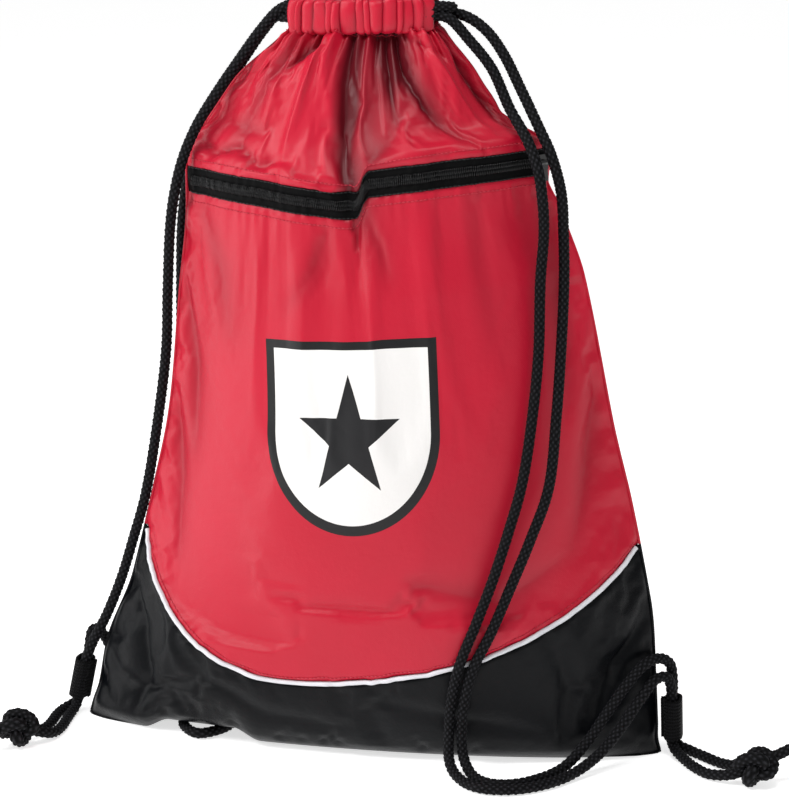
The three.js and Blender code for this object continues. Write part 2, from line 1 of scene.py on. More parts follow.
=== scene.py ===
"""A drawstring backpack, filled and standing on its base, built round its CAD frame.

Metres, +Z up. The front, with its zipped pocket, faces -Y. Sizes that end in _MM are millimetres.
"""

import math

import bpy
import numpy as np
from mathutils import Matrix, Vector


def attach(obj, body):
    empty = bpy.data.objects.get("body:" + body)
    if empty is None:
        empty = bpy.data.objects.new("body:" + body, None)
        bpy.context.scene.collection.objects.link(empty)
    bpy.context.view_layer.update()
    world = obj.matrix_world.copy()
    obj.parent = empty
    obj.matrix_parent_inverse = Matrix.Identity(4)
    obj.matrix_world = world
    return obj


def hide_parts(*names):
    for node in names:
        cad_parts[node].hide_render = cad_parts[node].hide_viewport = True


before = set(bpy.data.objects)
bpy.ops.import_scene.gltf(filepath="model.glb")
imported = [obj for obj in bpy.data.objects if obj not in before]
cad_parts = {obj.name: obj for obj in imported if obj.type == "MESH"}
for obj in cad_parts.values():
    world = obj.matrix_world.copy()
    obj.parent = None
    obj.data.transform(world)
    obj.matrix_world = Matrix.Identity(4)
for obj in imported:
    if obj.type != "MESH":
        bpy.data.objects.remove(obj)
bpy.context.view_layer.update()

MM = 0.001
BODY_MM = 443.0
BASE_WIDTH_MM = 366.0
BELLY_DEPTH_MM = 140.0
ZIP_LEVEL_MM = 357.0
ZIP_BAND_MM = 17.0
ZIP_CHAIN_MM = 6.0
ZIP_END = 0.94
CHANNEL_MM = 19.5
CHANNEL_DEPTH_MM = 10.0
CHANNEL_REACH = 0.86
CORD_MM = 6.5
GAP_MM = 0.3
FRONT, BACK = -1, 1
BASE_DEPTH_MM = 72.0
ZIP_WAIST_MM = 11.5  # how far the zip's own girth reaches above and below its line
LIFT_MM = 7.2  # how far the base is held up by the slack cord that lies under it
LIFT_MIDDLE_MM = -102.0
LIFT_REACH_MM = 22.0  # half length at full lift
LIFT_RUN_MM = 18.0  # length over which it comes back to the ground
LIFT_FADE_MM = 60.0  # height over which it dies out

# ---- Camera ----
CAMERA_AZIMUTH = math.radians(11.5)
CAMERA_ELEVATION = math.radians(13.5)
CAMERA_DISTANCE = 1.8
CAMERA_TARGET = Vector((0.015, 0.003, 0.214))
CAMERA_LENS_MM = 132.35


def make_camera():
    azimuth, elevation = CAMERA_AZIMUTH, CAMERA_ELEVATION
    back = Vector(
        (
            math.sin(azimuth) * math.cos(elevation),
            -math.cos(azimuth) * math.cos(elevation),
            math.sin(elevation),
        )
    )
    bpy.ops.object.camera_add(
        location=CAMERA_TARGET + back * CAMERA_DISTANCE,
        rotation=back.to_track_quat("Z", "Y").to_euler(),
    )
    camera = bpy.context.object
    camera.name = "camera"
    camera.data.lens = CAMERA_LENS_MM
    camera.data.clip_end = 50
    bpy.context.scene.camera = camera


make_camera()

# ---- Small helpers ----


def smooth(t):
    t = np.clip(t, 0, 1)
    return t * t * (3 - 2 * t)


def unit(vectors):
    return vectors / np.maximum(np.linalg.norm(vectors, axis=-1, keepdims=True), 1e-12)


def from_faces(name, points, faces, uvs=None):
    """A mesh object from points in metres, faces, and one uv pair per point."""
    mesh = bpy.data.meshes.new(name)
    mesh.from_pydata(np.asarray(points).reshape(-1, 3).tolist(), [], faces)
    if uvs is not None:
        layer = mesh.uv_layers.new(name="UVMap")
        corner = np.zeros(len(mesh.loops), np.int32)
        mesh.loops.foreach_get("vertex_index", corner)
        flat = np.asarray(uvs, np.float32).reshape(-1, 2)[corner]
        layer.data.foreach_set("uv", flat.ravel())
    mesh.validate()
    piece = bpy.data.objects.new(name, mesh)
    bpy.context.collection.objects.link(piece)
    return piece


def pick(piece):
    bpy.ops.object.select_all(action="DESELECT")
    piece.select_set(True)
    bpy.context.view_layer.objects.active = piece


def modify(piece, kind, **settings):
    """Adds a modifier and applies it."""
    pick(piece)
    modifier = piece.modifiers.new(kind.lower(), kind)
    for key, value in settings.items():
        setattr(modifier, key, value)
    bpy.ops.object.modifier_apply(modifier=modifier.name)


def smooth_shaded(piece):
    pick(piece)
    bpy.ops.object.shade_smooth()


def finished(piece, material, body="bag", replaces=()):
    """The last steps for a piece: its material, the body that it rides and the CAD nodes it stands for."""
    piece.name = piece.name.replace(" ", "_")
    piece.data.materials.clear()
    piece.data.materials.append(material)
    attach(piece, body)
    if replaces:
        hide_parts(*replaces)
    return piece


# ---- Node materials ----


class Value:
    """One number socket of a node tree, with arithmetic that adds Math nodes."""

    def __init__(self, nodes, socket):
        self.nodes = nodes
        self.socket = socket

    def math(self, operation, *others, clamp=False):
        node = self.nodes.tree.nodes.new("ShaderNodeMath")
        node.operation = operation
        node.use_clamp = clamp
        for place, term in enumerate((self, *others)):
            self.nodes.feed(node.inputs[place], term)
        return Value(self.nodes, node.outputs[0])

    def __add__(self, other):
        return self.math("ADD", other)

    def __sub__(self, other):
        return self.math("SUBTRACT", other)

    def __mul__(self, other):
        return self.math("MULTIPLY", other)

    def __truediv__(self, other):
        return self.math("DIVIDE", other)

    def __radd__(self, other):
        return self.math("ADD", other)

    def __rmul__(self, other):
        return self.math("MULTIPLY", other)

    def __rsub__(self, other):
        return self.nodes.number(other).math("SUBTRACT", self)

    def __neg__(self):
        return self.math("MULTIPLY", -1.0)

    def clamped(self):
        return self.math("ADD", 0.0, clamp=True)


class Nodes:
    """A material's node tree, with a Principled surface."""

    def __init__(self, name, **constants):
        self.material = bpy.data.materials.new(name)
        self.material.use_nodes = True
        self.tree = self.material.node_tree
        self.surface = self.tree.nodes["Principled BSDF"]
        for key, value in constants.items():
            self.surface.inputs[key.replace("_", " ")].default_value = value

    def feed(self, socket, source):
        if isinstance(source, Value):
            source = source.socket
        if isinstance(source, bpy.types.NodeSocket):
            self.tree.links.new(source, socket)
        else:
            socket.default_value = source

    def node(self, kind, settings=None, out=0, **inputs):
        """Any other node. An input is named by its socket, with _ for a space."""
        node = self.tree.nodes.new(kind)
        for key, value in (settings or {}).items():
            setattr(node, key, value)
        for key, value in inputs.items():
            self.feed(node.inputs[key.replace("_", " ")], value)
        return node.outputs[out]

    def number(self, value):
        node = self.tree.nodes.new("ShaderNodeValue")
        node.outputs[0].default_value = value
        return Value(self, node.outputs[0])

    def uv(self):
        """The piece's own uv, in metres."""
        socket = self.node("ShaderNodeTexCoord", out="UV")
        apart = self.tree.nodes.new("ShaderNodeSeparateXYZ")
        self.tree.links.new(socket, apart.inputs[0])
        return Value(self, apart.outputs[0]), Value(self, apart.outputs[1])

    def place(self):
        return self.node("ShaderNodeTexCoord", out="Object")

    def noise(self, scale, detail=3.0, vector=None, roughness=0.5):
        socket = self.node(
            "ShaderNodeTexNoise",
            Vector=vector if vector is not None else self.place(),
            Scale=scale,
            Detail=detail,
            Roughness=roughness,
        )
        return Value(self, socket)

    def attribute(self, name):
        return Value(self, self.node("ShaderNodeAttribute", {"attribute_name": name}, out="Fac"))

    def mix(self, share, first, second):
        """A mixture of two colours."""
        node = self.tree.nodes.new("ShaderNodeMix")
        node.data_type = "RGBA"
        for socket, source in zip((node.inputs[0], node.inputs[6], node.inputs[7]), (share, first, second)):
            self.feed(socket, source)
        return node.outputs[2]

    def colour(self, source):
        self.feed(self.surface.inputs["Base Color"], source)

    def roughness(self, source):
        self.feed(self.surface.inputs["Roughness"], source)

    def bump(self, height, distance, strength=1.0, normal=None):
        node = self.tree.nodes.new("ShaderNodeBump")
        self.feed(node.inputs["Height"], height)
        node.inputs["Distance"].default_value = distance
        node.inputs["Strength"].default_value = strength
        if normal is not None:
            self.tree.links.new(normal, node.inputs["Normal"])
        self.tree.links.new(node.outputs[0], self.surface.inputs["Normal"])
        return node.outputs[0]


def rgb(red, green, blue):
    """A colour from its values as seen on a screen, 0 to 255."""
    linear = []
    for c in (red, green, blue):
        linear.append((c / 255 / 12.92) if c <= 10 else (((c / 255) + 0.055) / 1.055) ** 2.4)
    return (*linear, 1.0)


def weave(nodes, pitch):
    """The over and under of a plain weave, -1 to 1."""
    u, v = nodes.uv()
    return (u * (2 * math.pi / pitch)).math("SINE") * (v * (2 * math.pi / pitch)).math("SINE")


def crimson_cloth(name, emblem=False):
    nodes = Nodes(name, Sheen_Weight=0.06, Sheen_Roughness=0.4, Specular_IOR_Level=0.34)
    nodes.surface.inputs["Sheen Tint"].default_value = rgb(255, 190, 200)
    broad = nodes.noise(9.0, 4.0)
    # Painted shade: where the cloth lies in the valleys of its folds, and between the sleeve's puffs, its red
    # is mixed towards a deep maroon, rgb(70, 2, 13).
    painted_crease_shade = nodes.attribute("painted_crease_shade")
    bright = nodes.mix(broad, rgb(170, 3, 32), rgb(194, 11, 48))
    red = nodes.mix((painted_crease_shade * 0.9).clamped(), bright, rgb(70, 2, 13))
    fine = nodes.noise(900.0, 2.0)
    rough = fine * 0.12 + broad * 0.14 + 0.27
    threads = weave(nodes, 0.0011) * 0.5 + fine
    if emblem:
        field, edge, star = emblem_masks(nodes)
        red = nodes.mix(field, red, rgb(226, 224, 222))
        red = nodes.mix(edge, red, rgb(10, 10, 12))
        red = nodes.mix(star, red, rgb(14, 14, 17))
        rough = rough + field * 0.12
        threads = threads * (1.0 - field * 0.6)
    nodes.colour(red)
    nodes.roughness(rough)
    creases = nodes.noise(38.0, 5.0, roughness=0.62)
    soft = nodes.bump(creases, 0.0028, 0.28)
    nodes.bump(threads, 0.00012, 0.5, soft)
    return nodes.material


EMBLEM_ACROSS_MM, EMBLEM_LEVEL_MM = -9.0, 214.0  # middle of the print
EMBLEM_HALF_WIDTH_MM, EMBLEM_HALF_HEIGHT_MM = 54.0, 62.0
BORDER_INSIDE = 0.9  # size of the white field in the shield
SHIELD_TOP = 0.86
STAR_DROP = 0.06  # how far the star's middle is below the shield's
STAR_POINT, STAR_NOTCH = 0.6, 0.235


def emblem_masks(nodes):
    """A plain shield with a border and a five-rayed star, printed on the pocket."""
    u, v = nodes.uv()
    x = (u - EMBLEM_ACROSS_MM * MM) / (EMBLEM_HALF_WIDTH_MM * MM)
    y = (v - EMBLEM_LEVEL_MM * MM) / (EMBLEM_HALF_HEIGHT_MM * MM)
    side = x.math("ABSOLUTE")

    def shield(size):
        low = (-(y / size)).clamped()
        wide = (1.0 - low * low).math("MAXIMUM", 0.0).math("SQRT") * size
        return (wide - side).math("GREATER_THAN", 0.0) * (size * SHIELD_TOP - y).math("GREATER_THAN", 0.0)

    outer, inner = shield(1.0), shield(BORDER_INSIDE)
    angle = x.math("ARCTAN2", y + STAR_DROP)
    radius = (x * x + (y + STAR_DROP) * (y + STAR_DROP)).math("SQRT")
    share = math.pi / 5
    turn = angle.math("PINGPONG", share)
    reach = turn.math("SINE") * STAR_POINT + (share - turn).math("SINE") * STAR_NOTCH
    star = (STAR_POINT * STAR_NOTCH * math.sin(share) - radius * reach).math("GREATER_THAN", 0.0)
    return inner, outer - inner, star


def satin(name):
    nodes = Nodes(name, Sheen_Weight=0.006, Specular_IOR_Level=0.13)
    nodes.surface.inputs["Sheen Tint"].default_value = rgb(150, 165, 195)
    broad = nodes.noise(14.0, 4.0)
    nodes.colour(nodes.mix(broad, rgb(1, 1, 2), rgb(7, 9, 13)))
    nodes.roughness(broad * 0.2 + nodes.noise(700.0, 2.0) * 0.1 + 0.16)
    creases = nodes.noise(30.0, 5.0, roughness=0.6)
    soft = nodes.bump(creases, 0.0035, 0.45)
    nodes.bump(weave(nodes, 0.0009), 0.0001, 0.4, soft)
    return nodes.material


def plain(name, dark, light, rough, pitch=None, scale=60.0, depth=0.0002, **constants):
    """A finish whose colour and roughness vary a little, with a weave if it has a pitch."""
    nodes = Nodes(name, **constants)
    broad = nodes.noise(scale, 4.0)
    nodes.colour(nodes.mix(broad, dark, light))
    nodes.roughness(broad * 0.16 + rough)
    height = weave(nodes, pitch) * 0.5 + broad if pitch else nodes.noise(scale * 12, 3.0)
    nodes.bump(height, depth, 0.6)
    return nodes.material


def webbing_material():
    """Ribbed webbing: ribs along it, and picks across each rib."""
    nodes = Nodes("black webbing", Sheen_Weight=0.01, Specular_IOR_Level=0.1)
    u, v = nodes.uv()
    ribs = (v * (2 * math.pi / 0.0021)).math("SINE")
    picks = (u * (2 * math.pi / 0.0016) + ribs * 1.5).math("SINE")
    broad = nodes.noise(50.0)
    # Painted shade and highlight: the colour follows the ribs and picks, lighter on their crests and darker
    # in the grooves, with a random tone from the broad noise.
    nodes.colour(nodes.mix((ribs * 0.3 + picks * 0.2 + broad * 0.5).clamped(), rgb(2, 2, 2), rgb(24, 24, 27)))
    nodes.roughness(broad * 0.2 + 0.6)
    nodes.bump(ribs + picks * 0.5, 0.0005, 0.8)
    return nodes.material


def braid_material():
    """The cord is painted lighter on the crowns of its crossings than between them: a painted highlight on
    the crowns and painted shade in the gaps.
    """
    nodes = Nodes("black braid", Sheen_Weight=0.01, Sheen_Roughness=0.5, Specular_IOR_Level=0.07)
    crown = nodes.attribute("crown")
    crown = crown * crown * crown * crown
    fuzz = nodes.noise(1500.0, 2.0)
    # Painted light: the colour runs from black in the gaps to grey on the crowns, with a little random fuzz.
    nodes.colour(nodes.mix((crown * 0.85 + fuzz * 0.15).clamped(), rgb(0, 0, 0), rgb(50, 50, 54)))
    nodes.roughness(fuzz * 0.25 + 0.48)
    nodes.bump(fuzz, 0.00025, 0.6)
    return nodes.material


crimson = crimson_cloth("crimson nylon")
crimson_printed = crimson_cloth("crimson nylon with emblem", emblem=True)
black_satin = satin("black satin")
white_piping = plain("white piping", rgb(196, 197, 203), rgb(232, 232, 236), 0.34, 0.0012)
black_tape = plain("black zip tape", rgb(2, 2, 2), rgb(9, 9, 10), 0.6, 0.0014, Specular_IOR_Level=0.08)
coil_nylon = plain(
    "coil nylon", rgb(1, 1, 1), rgb(12, 12, 14), 0.2, scale=200.0, depth=0.00005, Specular_IOR_Level=0.3
)
enamel = plain(
    "black enamel", rgb(3, 3, 3), rgb(12, 12, 13), 0.2, scale=120.0, depth=0.00003, Coat_Weight=0.4
)
red_thread = plain("crimson thread", rgb(150, 10, 34), rgb(206, 34, 62), 0.4, scale=400.0, depth=0.0001)
black_thread = plain("black thread", rgb(4, 4, 5), rgb(18, 19, 22), 0.4, scale=400.0, depth=0.0001)
grey_lining = plain("grey lining", rgb(48, 50, 54), rgb(70, 72, 78), 0.5, 0.0012)
webbing = webbing_material()
braid = braid_material()

# ---- Cords ----


def curve_through(points, step_mm):
    """Evenly spaced points on a centripetal spline through `points`, in metres."""
    points = np.asarray(points, float)
    knots = np.vstack([2 * points[0] - points[1], points, 2 * points[-1] - points[-2]])
    dense = []
    for a, b, c, d in zip(knots, knots[1:], knots[2:], knots[3:]):
        gaps = [max(np.linalg.norm(q - p), 1e-6) ** 0.5 for p, q in ((a, b), (b, c), (c, d))]
        start = ((b - a) / gaps[0] - (c - a) / (gaps[0] + gaps[1]) + (c - b) / gaps[1]) * gaps[1]
        end = ((c - b) / gaps[1] - (d - b) / (gaps[1] + gaps[2]) + (d - c) / gaps[2]) * gaps[1]
        t = np.linspace(0, 1, 24, endpoint=False)[:, None]
        dense.append(
            (2 * t**3 - 3 * t**2 + 1) * b
            + (t**3 - 2 * t**2 + t) * start
            + (3 * t**2 - 2 * t**3) * c
            + (t**3 - t**2) * end
        )
    dense = np.vstack([*dense, points[-1:]])
    return evenly(dense, step_mm) * MM


def evenly(points, step):
    run = np.r_[0, np.cumsum(np.linalg.norm(np.diff(points, axis=0), axis=1))]
    at = np.linspace(0, run[-1], max(int(round(run[-1] / step)), 2) + 1)
    return np.stack([np.interp(at, run, points[:, k]) for k in range(3)], 1)


def frames_along(path):
    """Unit tangents and two normals that don't twist along the path."""
    tangent = unit(np.gradient(path, axis=0))
    first = np.cross(tangent[0], (0.31, 0.52, 0.79))
    normal = [first / np.linalg.norm(first)]
    for t in tangent[1:]:
        turned = normal[-1] - t * (normal[-1] @ t)
        normal.append(turned / np.linalg.norm(turned))
    normal = np.array(normal)
    return tangent, normal, np.cross(tangent, normal)


def tube(name, path, diameter, sides, height=None, closed=False):
    """A round tube on `path`. height(run, turn) is added to the radius; uv runs along and around."""
    tangent, normal, other = frames_along(path)
    run = np.r_[0, np.cumsum(np.linalg.norm(np.diff(path, axis=0), axis=1))]
    turn = np.linspace(0, 2 * math.pi, sides, endpoint=False)
    radius = np.full((len(path), sides), diameter / 2)
    crown = np.zeros_like(radius)
    if height is not None:
        crown, raised = height(run[:, None], turn[None, :])
        radius = radius + raised
    spoke = normal[:, None] * np.cos(turn)[None, :, None] + other[:, None] * np.sin(turn)[None, :, None]
    points = path[:, None] + spoke * radius[..., None]
    count = len(path)
    faces = []
    for j in range(count if closed else count - 1):
        k = (j + 1) % count
        for i in range(sides):
            n = (i + 1) % sides
            faces.append((j * sides + i, j * sides + n, k * sides + n, k * sides + i))
    if not closed:
        faces.append(tuple(range(sides))[::-1])
        faces.append(tuple((count - 1) * sides + i for i in range(sides)))
    around = turn * diameter / 2
    uvs = np.stack(np.broadcast_arrays(run[:, None], around[None, :]), -1)
    piece = from_faces(name, points, faces, uvs)
    # The crown share is kept on the points; the braid material paints the crowns lighter and the gaps darker
    # from it.
    layer = piece.data.attributes.new("crown", "FLOAT", "POINT")
    layer.data.foreach_set("value", crown.astype(np.float32).ravel())
    smooth_shaded(piece)
    return piece


LOBE_MM = 4.2  # length of one crossing of the braid
LOBES = 6  # crossings round the cord


def braided(run, turn):
    """How high the braid's crossings stand: their share of full height, and the height in metres."""
    wind = math.pi * run / (LOBE_MM * MM)
    lobe = np.abs(np.cos(LOBES / 2 * turn + wind) * np.cos(LOBES / 2 * turn - wind))
    crown = lobe**0.6
    return crown, (crown - 0.7) * 1.1 * MM


CORD_STEP_MM = 0.8
KNOT_CORD_MM = 7.8  # a cord spreads where it is drawn up in a knot
CORD_SIDES = 32

ROUTES = {
    "right_strand_front": [
        (39, -4.4, 450.4), (49, -4.6, 448.6), (61.5, -4.4, 436), (75, -5.6, 420), (87, -11, 397),
        (99, -22, 381), (106.3, -28, 366), (109.5, -28, 348), (110.4, -25.5, 327),
        (109.3, -29.8, 298), (109.7, -36, 258), (107.8, -43, 222), (103, -51, 180),
        (96, -57.5, 151), (87.5, -61.5, 122), (77.6, -63.4, 94), (69, -64.4, 71), (63.5, -62, 48),
        (61.5, -60, 26), (63, -67, 9), (71, -80, 3.8), (86, -93, 3.5), (105, -92, 3.5),
        (124, -79, 3.6), (139, -59, 5), (152, -44, 13), (163, -35, 27), (173, -25, 42),
        (181, -15, 51.5), (187, -7.5, 50.5), (189.3, -4, 42), (189.4, -3.7, 32), (189.7, -3.7, 20),
        (190, -3.7, 9.5), (192.5, -7, 4.8), (198, -17, 3.6), (206, -31, 3.5), (217, -43, 3.6),
        (231, -49, 6.5), (240, -49, 10.5),
    ],
    "right_strand_back": [
        (39, 4.4, 450.4), (49, 4.6, 451), (60.5, 3.2, 448), (72, 0.6, 440), (82, -1.5, 427),
        (92, -5, 409), (105, -15, 387), (113.6, -22, 372), (119.7, -21.5, 350), (121, -18.5, 326),
        (122, -20.5, 296), (122, -29, 257), (121, -37.5, 219), (118, -46, 176), (109, -54.5, 147),
        (98, -58.5, 118), (87, -61.8, 90), (76, -62.8, 66), (71, -61.6, 46), (69, -59.5, 26),
        (71, -63.5, 11), (78, -74, 4.2), (89.5, -84.5, 3.5), (103, -84, 3.5), (117, -73, 3.6),
        (131, -55, 6), (143, -42, 18), (154, -34, 35), (164, -27, 50), (174, -17, 61),
        (182.5, -6, 62), (187.6, 0, 57), (189.2, 3.2, 47), (189.4, 3.7, 35), (189.7, 3.7, 20),
        (190, 3.7, 9.5), (193.5, 1.5, 4.8), (202, -5, 3.6), (212, -14, 3.5), (223, -24, 3.8),
        (235, -35, 7), (242, -43, 11),
    ],
    "left_strand_front": [
        (-45, -4.4, 455.6), (-54, -4.6, 451), (-65, -5, 439), (-78, -7, 421), (-92, -9.5, 400.5),
        (-104, -10.5, 381), (-112.5, -10.5, 362), (-118.5, -8.5, 342), (-123, -4.5, 320),
        (-126.5, -1, 278), (-128.5, 0, 240), (-135.5, 0, 190), (-144, 0, 145), (-152, 0, 118),
        (-160, -1, 92), (-170, -2, 67), (-178.5, -3.4, 50), (-184, -3.7, 37), (-187, -3.7, 24),
        (-189.6, -3.7, 11), (-191, -6.5, 5.4), (-191.5, -15, 3.6), (-190.5, -28, 3.5),
        (-189.5, -42, 3.5), (-191, -55, 4.5), (-195.5, -63, 7.5), (-202, -68, 10.5),
    ],
    "left_strand_back": [
        (-45, 4.4, 455.6), (-54, 4.8, 451), (-65, 5, 439), (-78, 6, 421), (-92, 8, 400.5),
        (-104, 10, 381), (-113, 12, 362), (-118, 14, 340), (-122, 18, 315), (-124.5, 22.5, 278),
        (-127, 29, 238), (-132, 36, 190), (-135, 45, 140), (-131, 57, 100), (-122, 67, 60),
        (-108, 73, 22), (-96, 68, 5), (-88, 50, 3.5), (-85.5, 25, 3.5), (-85.5, -2, 3.5),
        (-89, -22, 3.5), (-102, -35, 3.5), (-115, -22, 3.5), (-118.5, -2, 3.5), (-119, 25, 3.5),
        (-124, 46, 3.5), (-140, 58, 3.5), (-158, 55, 5), (-171, 44, 15), (-179, 33, 33),
        (-182.5, 22, 48), (-184, 10, 51), (-184.6, 4.2, 41), (-187, 3.7, 24), (-189.9, 3.6, 12),
        (-193.5, 1.5, 5.6), (-198, -6, 3.7), (-199.5, -18, 3.5), (-198.5, -34, 3.5),
        (-199.5, -48, 3.9), (-203, -57.5, 7), (-207, -66.5, 11),
    ],
}
BRAID_STAND_MM = 0.15  # how far the crossings stand out of the plain round

for name, route in ROUTES.items():
    path = curve_through(route, CORD_STEP_MM)
    strand = tube(name.replace("strand", "braid"), path, (CORD_MM - BRAID_STAND_MM) * MM, CORD_SIDES, braided)
    cord = finished(strand, braid, replaces=[name])


def knot(name, centre_mm, heading, rise, replaced):
    """An overhand knot drawn up tight, with the cord's end standing out of it."""
    turn = np.linspace(0, 2 * math.pi, 200, endpoint=False)
    wide = 6.3 + 3.7 * np.cos(3 * turn)
    loop = np.stack(
        [wide * np.cos(2 * turn) * 1.05, 6.2 * np.sin(3 * turn), wide * np.sin(2 * turn) * 0.8],
        -1,
    )
    end = np.array([(4, 0, 0), (14, 1.0, 0), (22, 0, 0.4), (27, -0.6, 0.6)])
    cosine, sine = math.cos(rise), math.sin(rise)
    tilt = np.array([(cosine, 0, sine), (0, 1, 0), (-sine, 0, cosine)])
    east, north = math.cos(heading), math.sin(heading)
    yaw = np.array([(east, north, 0), (-north, east, 0), (0, 0, 1)])

    def ready(points):
        return (points @ tilt @ yaw + np.array(centre_mm)) * MM

    body = tube(name, ready(loop), KNOT_CORD_MM * MM, CORD_SIDES, braided, closed=True)
    finished(body, braid, replaces=[replaced])
    stub = evenly(ready(end), CORD_STEP_MM * MM)
    finished(tube(name + " end", stub, CORD_MM * MM, CORD_SIDES, braided), braid)


knot("right tied knot", (245, -48, 12.3), 0.5, 0.35, "right_knot")
knot("left tied knot", (-208, -71, 12.3), 3.9, 0.1, "left_knot")

# ---- Shape of the filled bag ----
# Height share, half width share, half depth share, sideways shift, slope to the right, squareness.
ZIP_SHAPE = (0.622, 0.7, 0, 0.082, 1)
LEVELS = np.array(
    [
        (0, 1, BASE_DEPTH_MM / BELLY_DEPTH_MM, 0, 0, 0.6),
        (0.014, 0.99, 0.66, 0, 0, 0.6),
        (0.045, 0.975, 0.77, 2, 0, 0.65),
        (0.11, 0.955, 0.88, 4, 0, 0.75),
        (0.22, 0.892, 0.97, 11, 0.01, 0.9),
        (0.35, 0.82, 1, 12, 0.02, 1),
        (0.46, 0.757, 0.985, 11, 0.035, 1),
        (0.65, 0.684, 0.86, 6, 0.07, 1),
        ((ZIP_LEVEL_MM - ZIP_WAIST_MM) / BODY_MM, *ZIP_SHAPE),
        ((ZIP_LEVEL_MM + ZIP_WAIST_MM) / BODY_MM, *ZIP_SHAPE),
        (0.875, 0.525, 0.56, -6, 0.07, 1),
        (0.93, 0.42, 0.42, -6, 0.05, 0.8),
        (1, 0.28, 0.245, -3, 0.036, 0.55),
    ]
)


def shape(h, column):
    """Monotone cubic interpolation of one column of LEVELS at height share h."""
    x, y = LEVELS[:, 0], LEVELS[:, column]
    rise = np.diff(y) / np.diff(x)
    inner = [0 if a * b <= 0 else 2 * a * b / (a + b) for a, b in zip(rise, rise[1:])]
    tangent = np.array([rise[0], *inner, rise[-1]])
    i = np.clip(np.searchsorted(x, h, side="left") - 1, 0, len(x) - 2)
    span = x[i + 1] - x[i]
    t = (h - x[i]) / span
    return (
        (2 * t**3 - 3 * t**2 + 1) * y[i]
        + (t**3 - 2 * t**2 + t) * span * tangent[i]
        + (3 * t**2 - 2 * t**3) * y[i + 1]
        + (t**3 - t**2) * span * tangent[i + 1]
    )


def section(level):
    h = np.clip(level / BODY_MM, 0, 1)
    half_width = shape(h, 1) * BASE_WIDTH_MM / 2
    half_depth = shape(h, 2) * BELLY_DEPTH_MM / 2
    radius = (half_width**2 + half_depth**2) / (2 * half_depth)
    return half_depth, radius, shape(h, 3), np.arctan(shape(h, 4)), shape(h, 5)


def half_arc(level):
    """Length from the middle of the front to a side seam, in millimetres."""
    half_depth, radius = section(level)[:2]
    return radius * np.arccos(1 - half_depth / radius)


def skin(side, across, level):
    """A point of the plain filled shape, in millimetres."""
    across, level = np.broadcast_arrays(np.asarray(across, float), np.asarray(level, float))
    half_depth, radius, shift, lean, squareness = section(level)
    set_back = radius - half_depth
    angle = across * np.arccos(set_back / radius)
    x = radius * np.sin(angle) * np.cos(lean)
    arc = np.maximum(radius * np.cos(angle) - set_back, 0)
    y = half_depth * (arc / half_depth) ** squareness
    beyond = (np.abs(x - LIFT_MIDDLE_MM) - LIFT_REACH_MM) / LIFT_RUN_MM
    lift = LIFT_MM * smooth(1 - beyond) * np.clip(1 - level / LIFT_FADE_MM, 0, 1)
    z = level + x * np.tan(lean) + lift
    return np.stack([shift + x, side * (y + GAP_MM / 2), z], -1)


